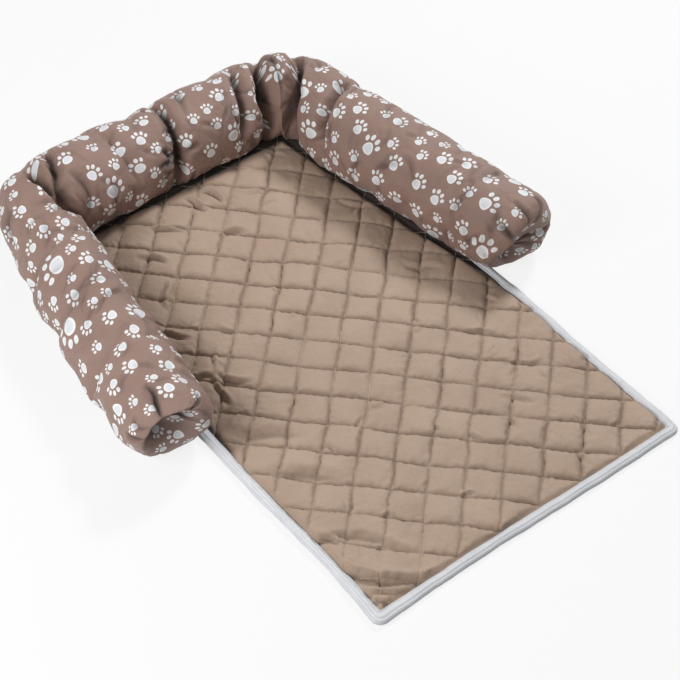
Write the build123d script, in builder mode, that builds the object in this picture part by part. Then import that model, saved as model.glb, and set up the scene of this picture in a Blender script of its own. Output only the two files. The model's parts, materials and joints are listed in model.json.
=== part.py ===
# A dog sofa bed: a quilted mat with a bound edge, and a stuffed bolster sewn on
# round three sides of it. The front of the mat is an apron with no bolster, which
# hangs over the edge of a sofa or folds up.
# Lengths are millimetres. +X is to the right of someone in front of the bed, +Y runs
# to its back and +Z is up. The origin is the middle of the bed, on what it lies on.
from build123d import *
import os
from math import cos, radians, sin, sqrt, tan

os.makedirs("parts", exist_ok=True)

# Mat
mat_width = 540.0
apron_length = 340.0
mat_tuck = 14.0
rim_height = 8.0
crown_height = 11.0
front_corner_round = 12.0
rear_corner_round = 60.0

# Quilting
quilt_pitch = 50.0
quilt_start_x = -12.0
quilt_start_y = 15.0
stitch_height = 6.2
puff_land = 16.0
border_fall = 22.0

# Cloths of the mat
face_cloth = 1.0
backing_cloth = 1.6

# Binding tape round the mat
binding_cloth = 0.8
binding_width = 15.0
binding_round = 3.2

# Bolster
bolster_radius = 62.0
bolster_sink = 1.0
corner_half_span = 235.0
arm_reach = 510.0
arm_splay = 8.65
corner_bend = 66.0
cover_cloth = 1.5
sewing_gap = 0.3
arm_swell = 1.5
end_round = 40.0
gather_radius = 17.0
gather_bottom_radius = 4.25
gather_depth = 9.0
tuck_count = 9
tuck_first = -15.0
tuck_step = 26.25
tuck_depth = 3.0
tuck_half_width = 3.5

# Creases across the bolster
crease_depth = 8.0
crease_half_width = 9.0
crease_shift = 7.0
crease_lip = 4.0
back_crease_x = 8.0
corner_crease_x = 152.0
arm_crease_reach = 105.0

# Fold between the seat and the apron
fold_gap = 12.0
fold_clearance = 0.3
fold_bevel = 46.0

# Zip low on the back of the bolster
zip_drop = 20.0
zip_facet_depth = 2.2
zip_facet_half = 165.0
zip_half_length = 150.0
zip_tape_width = 14.0
zip_tape_cloth = 0.8
zip_tape_run_out = 8.0
zip_tape_gap = 1.8
zip_slot_half = 5.4
zip_slot_run_out = 5.0
tooth_gap = 1.4
tooth_pitch = 3.0
tooth_width = 1.6
tooth_length = 2.9
tooth_height = 2.1
tooth_cord_width = 1.0
tooth_cord_height = 0.8
stop_length = 3.0
stop_height = 2.5

# Slider of the zip, and its pull
slider_rest_x = 140.0
slider_length = 12.0
slider_half_width = 4.8
slider_plate = 1.3
slider_wall = 0.9
slider_neck_length = 4.0
slider_neck_width = 0.8
slider_clearance = 0.3
bridge_length = 7.2
bridge_width = 1.8
bridge_height = 3.2
bridge_wall = 0.7
pull_pin_radius = 0.7
pull_thickness = 1.2
pull_arm = 1.2
pull_arm_gap = 0.45
pull_eye_length = 6.0
pull_length = 26.0
pull_tip_width = 8.4
pull_tip_round = 2.0

# One overrun serves every cut that has to pass right through
overrun = 20.0

# Places along the bed
overall_length = apron_length + fold_gap + arm_reach + bolster_radius
front_y = -overall_length / 2
fold_y = front_y + apron_length
arm_tip_y = fold_y + fold_gap
back_axis_y = arm_tip_y + arm_reach
mat_rear_y = back_axis_y + mat_tuck
mat_length = mat_rear_y - front_y
mat_middle_y = (mat_rear_y + front_y) / 2
axis_height = bolster_radius - bolster_sink

# The mat's core, inside its binding
rim_top = rim_height - binding_cloth
quilting_reach = mat_width + mat_length


def mat_outline(inset, height):
    """The mat's outline at a height, drawn in by the same distance all round."""
    with BuildSketch(Plane.XY.offset(height)) as outline:
        with Locations((0, mat_middle_y)):
            Rectangle(mat_width - 2 * inset, mat_length - 2 * inset)
        fillet(outline.vertices().group_by(Axis.Y)[-1], rear_corner_round - inset)
        if front_corner_round > inset:
            fillet(outline.vertices().group_by(Axis.Y)[0], front_corner_round - inset)
    return outline.sketch


def rounded_slab(inset, bottom, top, edge):
    """A slab of the mat's outline with its upper and lower edges rounded."""
    with BuildPart() as slab:
        extrude(mat_outline(inset, bottom), amount=top - bottom)
        fillet(slab.edges().filter_by(Plane.XY), radius=edge)
    return slab.part


def box(plane, low, high, bottom, top, mode=Mode.ADD):
    """A straight block on a plane, between two corners and two heights."""
    with BuildSketch(plane.offset(bottom)) as outline:
        with Locations(((low[0] + high[0]) / 2, (low[1] + high[1]) / 2)):
            Rectangle(high[0] - low[0], high[1] - low[1])
    extrude(outline.sketch, amount=top - bottom, mode=mode)


# Quilting: channels sewn both ways across the mat at 45 degrees, between puffed cells
def channel_plane(angle):
    """An upright plane through a crossing of the stitch lines."""
    return Plane(
        origin=(quilt_start_x, quilt_start_y, 0),
        x_dir=(cos(radians(angle)), sin(radians(angle)), 0),
        z_dir=(sin(radians(angle)), -cos(radians(angle)), 0),
    )


def channels(angle):
    """The cutters of one set of parallel channels."""
    half_top = (quilt_pitch - puff_land) / 2
    rows = 2 * int(quilting_reach / 2 / quilt_pitch) + 1
    with BuildPart() as cutters:
        with BuildSketch(channel_plane(angle)):
            with GridLocations(quilt_pitch, 0, rows, 1):
                Polygon(
                    (0, stitch_height),
                    (half_top, crown_height),
                    (half_top, crown_height + overrun),
                    (-half_top, crown_height + overrun),
                    (-half_top, crown_height),
                    align=None,
                )
        extrude(amount=quilting_reach / 2, both=True)
    return cutters.part


# The space inside the binding
core_slab = rounded_slab(binding_cloth, binding_cloth, rim_top, binding_round - binding_cloth)

# All the mat's layers together: pressed to the binding at the rim, full in the middle
with BuildPart() as mat_core:
    add(core_slab)
    extrude(mat_outline(binding_width, 0), amount=rim_top)
    crown_sections = [
        mat_outline(binding_width, rim_top),
        mat_outline(binding_width + border_fall, crown_height),
    ]
    loft(crown_sections, ruled=True)

# Binding: one tape folded over the mat's edge
with BuildPart() as binding:
    add(rounded_slab(0, 0, rim_height, binding_round))
    add(core_slab, mode=Mode.SUBTRACT)
    extrude(mat_outline(binding_width, 0), amount=rim_height, mode=Mode.SUBTRACT)

# Fold: a notch with its waist at the height of the stitching, so that the apron turns
# down over an edge, or up against the ends of the arms
with BuildPart() as fold_notch:
    half_waist = fold_clearance / 2
    rise = crown_height + overrun - stitch_height
    drop = stitch_height + overrun
    with BuildSketch(Plane.YZ.offset(-mat_width)):
        with Locations((fold_y, stitch_height)):
            Polygon(
                (-half_waist, 0),
                (-half_waist - drop * tan(radians(fold_bevel)), -drop),
                (half_waist + drop * tan(radians(fold_bevel)), -drop),
                (half_waist, 0),
                (half_waist + rise * tan(radians(fold_bevel)), rise),
                (-half_waist - rise * tan(radians(fold_bevel)), rise),
                align=None,
            )
    extrude(amount=2 * mat_width)

seat_side = Plane((0, fold_y, 0), x_dir=(1, 0, 0), z_dir=(0, 1, 0))
apron_side = Plane((0, fold_y, 0), x_dir=(1, 0, 0), z_dir=(0, -1, 0))


def mitre(corner_x, corner_y, toward_x, toward_y):
    """The upright plane that parts two tapes at a corner, facing the given way."""
    return Plane((corner_x, corner_y, 0), x_dir=(0, 0, 1), z_dir=(toward_x, toward_y, 0))


def piece_of(whole, name, planes, cutters=()):
    """What lies on the near side of every plane, clear of the fold and the cutters."""
    with BuildPart() as piece:
        add(whole)
        add(fold_notch.part, mode=Mode.SUBTRACT)
        for plane in planes:
            split(bisect_by=plane, keep=Keep.TOP)
        for cutter in cutters:
            add(cutter, mode=Mode.SUBTRACT)
    piece.part.label = name
    export_step(piece.part, "parts/" + name + ".step")


face_bottom = stitch_height - face_cloth
above_wadding = Plane.XY.offset(face_bottom)
under_face = Plane((0, 0, face_bottom), z_dir=(0, 0, -1))
above_backing = Plane.XY.offset(backing_cloth)
under_wadding = Plane((0, 0, backing_cloth), z_dir=(0, 0, -1))
stitching = (channels(45), channels(-45))
for half_name, half_side in (("seat", seat_side), ("apron", apron_side)):
    piece_of(mat_core.part, half_name + "_face", [half_side, above_wadding], stitching)
    piece_of(mat_core.part, half_name + "_wadding", [half_side, under_face, above_backing])
    piece_of(mat_core.part, half_name + "_backing", [half_side, under_wadding])

half_mat = mat_width / 2
for side_name, side in (("left", -1), ("right", 1)):
    this_side = Plane((0, 0, 0), x_dir=(0, 0, 1), z_dir=(side, 0, 0))
    front_mitre = mitre(side * half_mat, front_y, side, 1)
    rear_mitre = mitre(side * half_mat, mat_rear_y, side, -1)
    piece_of(binding.part, side_name + "_apron_binding", [this_side, apron_side, front_mitre])
    piece_of(binding.part, side_name + "_seat_binding", [this_side, seat_side, rear_mitre])
end_mitres = {
    "front_binding": (apron_side, front_y, -1),
    "back_binding": (seat_side, mat_rear_y, 1),
}
for tape_name, (tape_side, corner_y, facing) in end_mitres.items():
    left_mitre = mitre(-half_mat, corner_y, 1, facing)
    right_mitre = mitre(half_mat, corner_y, -1, facing)
    piece_of(binding.part, tape_name, [tape_side, left_mitre, right_mitre])

# Bolster: the centre line of the right arm and of its corner. A heading is the way of
# travel, from the arm's end to the back, in degrees from +X
arm_heading = 90 + arm_splay
half_turn = (180 - arm_heading) / 2
tangent_length = corner_bend * tan(radians(half_turn))
arm_axis_length = arm_reach / cos(radians(arm_splay))
arm_straight = arm_axis_length - tangent_length


def ahead(heading):
    return (cos(radians(heading)), sin(radians(heading)), 0)


def beside(heading):
    return (sin(radians(heading)), -cos(radians(heading)), 0)


def on_arm(from_corner):
    """A point of the arm's axis, at its distance from the corner of the axes."""
    x = corner_half_span + from_corner * sin(radians(arm_splay))
    y = back_axis_y - from_corner * cos(radians(arm_splay))
    return (x, y, axis_height)


bend_start = on_arm(tangent_length)
bend_centre_x = bend_start[0] - corner_bend * beside(arm_heading)[0]
bend_centre_y = bend_start[1] - corner_bend * beside(arm_heading)[1]
bend_axis = Axis((bend_centre_x, bend_centre_y, 0), (0, 0, 1))
mitre_heading = arm_heading + half_turn
mitre_point = (
    bend_centre_x + corner_bend * beside(mitre_heading)[0],
    bend_centre_y + corner_bend * beside(mitre_heading)[1],
    axis_height,
)


# The flat that carries the zip: x runs to the left of the bed, y up the flat, z outwards
facet_reach = bolster_radius - zip_facet_depth
zip_plane = Plane(
    origin=(
        0,
        back_axis_y + facet_reach * cos(radians(zip_drop)),
        axis_height - facet_reach * sin(radians(zip_drop)),
    ),
    x_dir=(-1, 0, 0),
    z_dir=(0, cos(radians(zip_drop)), -sin(radians(zip_drop))),
)


def crease(place, heading, depth, lean, toward=(0, 0)):
    """The ring that cuts a crease round the bolster, leant to one side of its axis."""
    shift = lean / sqrt(2)
    centre = (place[0] + toward[0] * shift, place[1] + toward[1] * shift, place[2] - shift)
    waist = bolster_radius - crease_depth - depth + lean
    reach = bolster_radius + lean + crease_lip
    spread = crease_half_width * (reach - waist) / crease_depth
    with BuildPart() as ring:
        with BuildSketch(Plane(centre, x_dir=ahead(heading), z_dir=beside(heading))):
            Polygon((0, waist), (spread, reach), (-spread, reach), align=None)
        revolve(axis=Axis(centre, ahead(heading)))
    return ring.part


def shaped(whole, depth):
    """A length of the bolster, cut by the floor and by the mat that it is sewn on."""
    clear = sewing_gap + depth
    mat_space = mat_outline(-clear, -overrun)
    with BuildPart() as length:
        add(whole)
        split(bisect_by=Plane.XY.offset(depth), keep=Keep.TOP)
        add(crease(mitre_point, mitre_heading, depth, 0), mode=Mode.SUBTRACT)
        extrude(mat_space, amount=overrun + crown_height + clear, mode=Mode.SUBTRACT)
    return length.part


def tucks(tip, depth):
    """The cutters of the tucks where the end's shoulder is gathered in."""
    along = Vector(ahead(arm_heading))
    slack = tuck_half_width * (tuck_depth + crease_lip) / tuck_depth
    with BuildPart() as cutters:
        for turn in range(tuck_count):
            angle = radians(tuck_first + turn * tuck_step)
            radial = Vector(beside(arm_heading)) * cos(angle) + Vector(0, 0, sin(angle))
            outward = (radial - along).normalized()
            centre = Vector(tip) + radial * (bolster_radius - end_round) + along * end_round
            skin = centre + outward * (end_round - depth)
            with BuildSketch(Plane(skin, x_dir=radial.cross(along), z_dir=radial + along)):
                Polygon(
                    (0, -tuck_depth), (slack, crease_lip), (-slack, crease_lip), align=None
                )
            extrude(amount=end_round / 2, both=True)
    return cutters.part


def arm_body(depth, creased):
    """The right arm up to the middle of its corner, at a depth under its skin."""
    radius = bolster_radius - depth
    tip = on_arm(arm_axis_length)
    across = Plane(tip, x_dir=beside(arm_heading), z_dir=(0, 0, 1))
    with BuildPart() as body:
        with BuildSketch(across):
            with BuildLine():
                flat = Line((0, depth), (bolster_radius - end_round, depth))
                shoulder = CenterArc(
                    (bolster_radius - end_round, end_round), end_round - depth, -90, 90
                )
                middle = (end_round + arm_straight) / 2
                ThreePointArc(
                    shoulder @ 1, (radius + arm_swell, middle), (radius, arm_straight)
                )
                Polyline((radius, arm_straight), (0, arm_straight), flat @ 0)
            make_face()
        revolve(axis=Axis(tip, ahead(arm_heading)))
        with BuildSketch(Plane(bend_start, x_dir=beside(arm_heading), z_dir=ahead(arm_heading))):
            Circle(radius)
        revolve(axis=bend_axis, revolution_arc=half_turn)
        if creased:
            place = on_arm(arm_crease_reach)
            outward = beside(arm_heading)
            add(crease(place, arm_heading, depth, crease_shift, outward), mode=Mode.SUBTRACT)
        mouth = Plane(
            on_arm(arm_axis_length - depth),
            x_dir=beside(arm_heading),
            z_dir=ahead(arm_heading),
        )
        with BuildSketch(mouth):
            Circle(gather_radius)
        with BuildSketch(mouth.offset(gather_depth)):
            Circle(gather_bottom_radius)
        loft(ruled=True, mode=Mode.SUBTRACT)
        add(tucks(tip, depth), mode=Mode.SUBTRACT)
    return shaped(body.part, depth)


def back_body(depth):
    """The back from the middle of one corner to the middle of the other."""
    radius = bolster_radius - depth
    bend_end = Plane((-bend_centre_x, back_axis_y, axis_height), x_dir=(0, 1, 0), z_dir=(1, 0, 0))
    with BuildPart() as body:
        with BuildSketch(bend_end):
            Circle(radius)
        extrude(amount=2 * bend_centre_x)
        with BuildSketch(bend_end.offset(2 * bend_centre_x)):
            Circle(radius)
        revolve(axis=bend_axis, revolution_arc=-half_turn)
        add(mirror(body.part, about=Plane.YZ))
        for place_x in (back_crease_x, corner_crease_x):
            place = (place_x, back_axis_y, axis_height)
            add(crease(place, 180, depth, crease_shift, (0, 1)), mode=Mode.SUBTRACT)
    facet_half = zip_facet_half + depth
    with BuildPart() as both_corners:
        add(shaped(body.part, depth))
        left_point = (-mitre_point[0], mitre_point[1], mitre_point[2])
        add(crease(left_point, 360 - mitre_heading, depth, 0), mode=Mode.SUBTRACT)
        box(
            zip_plane,
            (-facet_half, -bolster_radius),
            (facet_half, bolster_radius),
            -depth,
            overrun,
            Mode.SUBTRACT,
        )
    return both_corners.part


def save(part, name):
    part.label = name
    export_step(part, "parts/" + name + ".step")


for side_name in ("right", "left"):
    arm_filling = arm_body(cover_cloth, side_name == "right")
    with BuildPart() as arm_cover:
        add(arm_body(0, side_name == "right"))
        add(arm_filling, mode=Mode.SUBTRACT)
    if side_name == "left":
        save(mirror(arm_filling, about=Plane.YZ), "left_arm_filling")
        save(mirror(arm_cover.part, about=Plane.YZ), "left_arm_cover")
    else:
        save(arm_filling, "right_arm_filling")
        save(arm_cover.part, "right_arm_cover")

# Heights above the zip's flat: the tapes lie under the cover's cloth, the teeth on them
tape_top = -cover_cloth
tape_bottom = tape_top - zip_tape_cloth
tooth_top = tape_top + tooth_height
slot_half = zip_half_length + zip_slot_run_out
tooth_inner = tooth_gap / 2
tooth_outer = tooth_inner + tooth_length
under_plate_top = tape_bottom - slider_clearance
under_plate_bottom = under_plate_top - slider_plate
over_plate_bottom = tooth_top + slider_clearance
over_plate_top = over_plate_bottom + slider_plate

back_hollow = back_body(cover_cloth)
with BuildPart() as back_cover:
    add(back_body(0))
    add(back_hollow, mode=Mode.SUBTRACT)
    box(
        zip_plane,
        (-slot_half, -zip_slot_half),
        (slot_half, zip_slot_half),
        tape_bottom,
        overrun,
        Mode.SUBTRACT,
    )
save(back_cover.part, "back_cover")

with BuildPart() as back_filling:
    add(back_hollow)
    facet_half = zip_facet_half + cover_cloth
    box(
        zip_plane,
        (-facet_half, -bolster_radius),
        (facet_half, bolster_radius),
        tape_bottom,
        overrun,
        Mode.SUBTRACT,
    )
    channel_half = slider_half_width + slider_clearance
    box(
        zip_plane,
        (-slot_half, -channel_half),
        (slot_half, channel_half),
        under_plate_bottom - slider_clearance,
        overrun,
        Mode.SUBTRACT,
    )
save(back_filling.part, "back_filling")

tape_half = zip_half_length + zip_tape_run_out
teeth_in_row = int(2 * zip_half_length / tooth_pitch) - 1
for row_name, side, offset in (("upper", 1, 0), ("lower", -1, tooth_pitch / 2)):
    tape_edges = sorted((side * zip_tape_gap / 2, side * zip_tape_width))
    with BuildPart() as tape:
        box(
            zip_plane,
            (-tape_half, tape_edges[0]),
            (tape_half, tape_edges[1]),
            tape_bottom,
            tape_top,
        )
    save(tape.part, row_name + "_zip_tape")

    cord_edges = sorted((side * (tooth_outer - tooth_cord_width), side * tooth_outer))
    with BuildPart() as teeth:
        with BuildSketch(zip_plane.offset(tape_top)):
            with Locations((offset - tooth_pitch / 4, side * (tooth_inner + tooth_outer) / 2)):
                with GridLocations(tooth_pitch, 0, teeth_in_row, 1):
                    Rectangle(tooth_width, tooth_length)
        extrude(amount=tooth_height)
        box(
            zip_plane,
            (-zip_half_length, cord_edges[0]),
            (zip_half_length, cord_edges[1]),
            tape_top,
            tape_top + tooth_cord_height,
        )
    save(teeth.part, row_name + "_zip_teeth")

with BuildPart() as zip_stops:
    box(
        zip_plane,
        (zip_half_length, -tooth_outer),
        (zip_half_length + stop_length, tooth_outer),
        tape_top,
        tape_top + stop_height,
    )
    for side in (-1, 1):
        stop_edges = sorted((side * zip_tape_gap / 2, side * tooth_outer))
        box(
            zip_plane,
            (-zip_half_length - stop_length, stop_edges[0]),
            (-zip_half_length, stop_edges[1]),
            tape_top,
            tape_top + stop_height,
        )
save(zip_stops.part, "zip_stops")

# The slider holds both rows between two plates, and its neck runs in the gap between them
slider_plane = Plane(
    zip_plane.from_local_coords((-slider_rest_x, 0, 0)),
    x_dir=zip_plane.x_dir,
    z_dir=zip_plane.z_dir,
)
half_slider = slider_length / 2
window_bottom = over_plate_top + bridge_wall / 2
window_top = over_plate_top + bridge_height - bridge_wall
with BuildPart() as slider:
    for bottom in (under_plate_bottom, over_plate_bottom):
        box(
            slider_plane,
            (-half_slider, -slider_half_width),
            (half_slider, slider_half_width),
            bottom,
            bottom + slider_plate,
        )
    fillet(slider.edges().filter_by(Axis(slider_plane.origin, slider_plane.z_dir)), slider_wall)
    for side in (-1, 1):
        wall_edges = sorted((side * slider_half_width, side * (slider_half_width - slider_wall)))
        box(
            slider_plane,
            (slider_wall - half_slider, wall_edges[0]),
            (half_slider - slider_wall, wall_edges[1]),
            tape_top + slider_clearance,
            over_plate_bottom,
        )
    box(
        slider_plane,
        (-slider_neck_length / 2, -slider_neck_width / 2),
        (slider_neck_length / 2, slider_neck_width / 2),
        under_plate_top,
        over_plate_bottom,
    )
    box(
        slider_plane,
        (-bridge_length / 2, -bridge_width / 2),
        (bridge_length / 2, bridge_width / 2),
        over_plate_top,
        over_plate_top + bridge_height,
    )
    box(
        slider_plane,
        (bridge_wall - bridge_length / 2, -bridge_width),
        (bridge_length / 2 - bridge_wall, bridge_width),
        window_bottom,
        window_top,
        Mode.SUBTRACT,
    )
save(slider.part, "zip_slider")

# The pull's pin lies in the bridge's window, and its two arms pass beside the bridge
pin_height = (window_bottom + window_top) / 2
arm_inner = bridge_width / 2 + pull_arm_gap
arm_outer = arm_inner + pull_arm
pull_bottom = pin_height - pull_thickness / 2
with BuildPart() as pull:
    with BuildSketch(slider_plane.offset(pull_bottom)):
        with BuildLine():
            Polyline(
                (0, -arm_outer),
                (pull_eye_length, -arm_outer),
                (pull_length, -pull_tip_width / 2),
                (pull_length, pull_tip_width / 2),
                (pull_eye_length, arm_outer),
                (0, arm_outer),
                close=True,
            )
        make_face()
        with Locations((pull_eye_length / 2, 0)):
            Rectangle(pull_eye_length, 2 * arm_inner, mode=Mode.SUBTRACT)
    extrude(amount=pull_thickness)
    tip_edges = pull.edges().filter_by(Axis(slider_plane.origin, slider_plane.z_dir))
    fillet(tip_edges.sort_by(Axis.X)[:2], pull_tip_round)
    pin_plane = Plane(
        slider_plane.from_local_coords((0, -arm_outer, pin_height)),
        x_dir=slider_plane.x_dir,
        z_dir=slider_plane.y_dir,
    )
    with BuildSketch(pin_plane):
        Circle(pull_pin_radius)
    extrude(amount=2 * arm_outer)
save(pull.part, "zip_pull")
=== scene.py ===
import json
import math
from functools import partialmethod

import bmesh
import bpy
import numpy as np
from mathutils import Matrix, Vector


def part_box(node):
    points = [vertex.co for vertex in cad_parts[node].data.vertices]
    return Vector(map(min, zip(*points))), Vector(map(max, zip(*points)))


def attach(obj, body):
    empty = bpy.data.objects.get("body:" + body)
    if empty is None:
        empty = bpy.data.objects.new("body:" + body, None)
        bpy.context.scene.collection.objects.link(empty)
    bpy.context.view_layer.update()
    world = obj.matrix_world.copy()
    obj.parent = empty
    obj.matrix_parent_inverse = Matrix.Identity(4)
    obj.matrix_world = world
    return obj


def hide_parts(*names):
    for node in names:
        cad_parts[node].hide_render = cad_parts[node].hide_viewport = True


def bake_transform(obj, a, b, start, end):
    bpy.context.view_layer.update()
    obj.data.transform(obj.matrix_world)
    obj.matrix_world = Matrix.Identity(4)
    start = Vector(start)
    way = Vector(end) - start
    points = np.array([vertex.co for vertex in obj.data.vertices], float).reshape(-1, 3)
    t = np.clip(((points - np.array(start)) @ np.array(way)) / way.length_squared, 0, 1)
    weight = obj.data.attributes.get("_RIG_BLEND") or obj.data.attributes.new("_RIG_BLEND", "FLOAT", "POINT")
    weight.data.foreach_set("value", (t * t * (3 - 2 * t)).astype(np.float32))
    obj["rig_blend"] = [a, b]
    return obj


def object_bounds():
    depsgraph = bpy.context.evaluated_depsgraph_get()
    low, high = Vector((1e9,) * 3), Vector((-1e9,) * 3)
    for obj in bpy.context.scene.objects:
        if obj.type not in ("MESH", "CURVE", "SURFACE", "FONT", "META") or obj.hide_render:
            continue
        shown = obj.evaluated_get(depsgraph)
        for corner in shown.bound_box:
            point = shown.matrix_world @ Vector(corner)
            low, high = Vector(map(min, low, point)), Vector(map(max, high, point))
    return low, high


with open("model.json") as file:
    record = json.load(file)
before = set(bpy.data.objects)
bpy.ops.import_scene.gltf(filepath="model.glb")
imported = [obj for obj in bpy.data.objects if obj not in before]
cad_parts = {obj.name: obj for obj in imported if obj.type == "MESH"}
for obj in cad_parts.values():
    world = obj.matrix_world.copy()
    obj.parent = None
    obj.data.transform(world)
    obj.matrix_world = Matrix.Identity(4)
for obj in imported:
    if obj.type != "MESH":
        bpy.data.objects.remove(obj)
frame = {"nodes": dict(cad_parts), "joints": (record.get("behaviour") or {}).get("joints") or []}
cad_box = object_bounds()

# Lengths are metres and angles degrees. Random draws come from seeded generators
scene = bpy.context.scene
mm = 0.001

# The mat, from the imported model
half_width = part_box("front_binding")[1].x
front_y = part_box("front_binding")[0].y
rear_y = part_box("back_binding")[1].y
front_round = 0.012
rear_round = 0.060
rear_shoulder = rear_round * (1 - math.sqrt(0.5)) * math.sqrt(2)
binding_width = 0.015
fold_y = next(j["pos_m"] for j in frame["joints"] if j["name"] == "apron_fold")[1]
fold_start = (0.0, fold_y + 6 * mm, 0.0)
fold_end = (0.0, fold_y - 36 * mm, 0.0)

# Quilting
quilt_pitch = 0.050
quilt_start = (-0.012, 0.015)
stitch_height = 0.0056
puff_height = 0.0076
mat_rise = 3.0 * mm
steps_per_cell = 20
lattice_step = quilt_pitch / steps_per_cell
seam_closeness = 0.42
seam_wander = 1.2 * mm
mat_roll = 1.2 * mm
cell_tilt = 3.2 * mm
pucker_height = 0.7 * mm
tuck_scale = 1.35
random_tucks = 240
slack_corner = 0.19
wander = 1.3 * mm
fine_wander = 0.45 * mm
lining_height = 0.0017
mat_inset = 0.004
stitch_length = 0.0036
stitch_gap = 0.0007
thread_radius = 0.00038

# Bolster: the axis of a tube, from the end of the right arm round to that of the left
bolster_radius = 0.062
bolster_sink = 0.002
circumference = 2 * math.pi * bolster_radius
corner_half_span = 0.235
arm_reach = 0.510
arm_splay = 8.65
corner_bend = 0.066
back_axis_y = cad_box[1].y - bolster_radius
ring_step = 0.0052
rest_on_mat = 0.0108

# Zip
zip_around = 290.0
zip_facet = 0.0598
zip_facet_half = 0.160
zip_slot_half_length = 0.1550
zip_slot_half_width = 0.0054
zip_slot_depth = 0.0056


def paint(code):
    """A colour from its hex code, as light."""
    shares = [int(code[i : i + 2], 16) / 255 for i in (1, 3, 5)]
    light = [c / 12.92 if c < 0.04045 else ((c + 0.055) / 1.055) ** 2.4 for c in shares]
    return (*light, 1.0)


class Shade:
    """A number that varies over a surface: sums on it add nodes to its finish."""

    def __init__(self, finish, socket):
        self.finish = finish
        self.socket = socket

    def maths(self, operation, *others):
        inputs = dict(enumerate((self, *others)))
        return self.finish.add("ShaderNodeMath", {"operation": operation}, inputs)

    __add__ = __radd__ = partialmethod(maths, "ADD")
    __mul__ = __rmul__ = partialmethod(maths, "MULTIPLY")
    __sub__ = partialmethod(maths, "SUBTRACT")
    __truediv__ = partialmethod(maths, "DIVIDE")
    __pow__ = partialmethod(maths, "POWER")
    __abs__ = partialmethod(maths, "ABSOLUTE")
    smaller = partialmethod(maths, "MINIMUM")
    larger = partialmethod(maths, "MAXIMUM")

    def __rsub__(self, other):
        return self * -1.0 + other

    def within(self, edge, softness):
        """1 well under the edge and 0 well over it."""
        return ((edge - self) / softness + 0.5).larger(0.0).smaller(1.0)

    def wave(self, length):
        """A ripple between -1 and 1 of the given length."""
        return (self * (2 * math.pi / length)).maths("SINE")


class Finish:
    """A material or the world, made one node at a time."""

    def __init__(self, name, kind="materials"):
        self.owner = getattr(bpy.data, kind).new(name)
        self.owner.use_nodes = True
        self.tree = self.owner.node_tree
        self.tree.nodes.clear()

    def add(self, kind, settings=None, inputs=None, output=0):
        """Adds a node with its settings and its inputs, and gives one of its outputs."""
        node = self.tree.nodes.new(kind)
        for setting, value in (settings or {}).items():
            setattr(node, setting, value)
        for socket, value in (inputs or {}).items():
            if isinstance(value, Shade):
                self.tree.links.new(value.socket, node.inputs[socket])
            else:
                node.inputs[socket].default_value = value
        return Shade(self, node.outputs[output]) if node.outputs else None

    def place(self):
        return self.add("ShaderNodeTexCoord", output="Object")

    def attribute(self, name):
        return self.add("ShaderNodeAttribute", {"attribute_name": name}, output="Fac")

    def parts(self, vector):
        """The three numbers of a vector."""
        split = self.add("ShaderNodeSeparateXYZ", inputs={0: vector}).socket.node
        return [Shade(self, split.outputs[axis]) for axis in range(3)]

    def on_map(self, name):
        """The two coordinates of one of the piece's maps."""
        return self.parts(self.add("ShaderNodeUVMap", {"uv_map": name}))[:2]

    def noise(self, size, detail=3.0, roughness=0.5, vector=None):
        inputs = {"Vector": vector or self.place(), "Scale": 1 / size}
        inputs.update({"Detail": detail, "Roughness": roughness})
        return self.add("ShaderNodeTexNoise", inputs=inputs)

    def folds(self, size):
        """1 nearly everywhere, and 0 along winding lines."""
        return (abs(self.noise(size, 2.5, 0.45) - 0.5) * 9.0).smaller(1.0)

    def mix(self, share, *colours):
        """A colour between two others, each a hex code or a colour already mixed."""
        first, second = (paint(c) if isinstance(c, str) else c for c in colours)
        inputs = {0: share, 6: first, 7: second}
        return self.add("ShaderNodeMix", {"data_type": "RGBA"}, inputs, 2)

    def seen_ray(self, *kinds):
        """1 for light rays of the given kinds, and 0 for others."""
        seen = None
        for kind in kinds:
            ray = self.add("ShaderNodeLightPath", output=f"Is {kind} Ray")
            seen = ray if seen is None else seen.larger(ray)
        return seen

    def surface(self, relief, depth, **values):
        """Ends the finish with one principled shader, with bumps of the given depth."""
        inputs = {name.replace("_", " "): value for name, value in values.items()}
        inputs["Normal"] = self.add("ShaderNodeBump", inputs={"Height": relief, "Distance": depth})
        shader = self.add("ShaderNodeBsdfPrincipled", inputs=inputs)
        self.add("ShaderNodeOutputMaterial", inputs={"Surface": shader})
        return self.owner


def quilt_cloth():
    """Smooth woven cloth of the mat, with painted shade in its seams and folds and painted shadow by the
    bolster.
    """
    cloth = Finish("quilt_cloth")
    x, y, _ = cloth.parts(cloth.place())
    weave = x.wave(0.9 * mm) * y.wave(0.9 * mm)
    slub = cloth.noise(2.2 * mm, 2.0)
    cloudy = cloth.noise(70 * mm)
    grain = cloth.noise(3.2 * mm, 2.0, 0.7)
    crinkle = cloth.noise(9 * mm, 4.0, 0.6)
    # Painted shade in the mat's seams and folds, and painted shadow beside the bolster
    painted_mat_shade = cloth.attribute("painted_mat_shade")
    colour = cloth.mix(cloudy * 0.55 + slub * 0.2 + grain * 0.25, "#957c69", "#c5ad99")
    colour = cloth.mix(painted_mat_shade * 0.62, colour, "#513c2c")
    # Painted shadow, nearly black, where the mat meets the bolster
    contact_shadow = ((painted_mat_shade - 1.25) * 1.6).larger(0.0).smaller(1.0)
    colour = cloth.mix(contact_shadow * 0.88, colour, "#1a120d")
    relief = weave * 0.25 + slub * 0.9 + crinkle * 7.5 + cloth.folds(30 * mm) * 3.2
    return cloth.surface(
        relief,
        0.12 * mm,
        Base_Color=colour,
        Roughness=0.62 + slub * 0.14,
        Sheen_Weight=0.18,
        Sheen_Roughness=0.45,
    )


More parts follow.
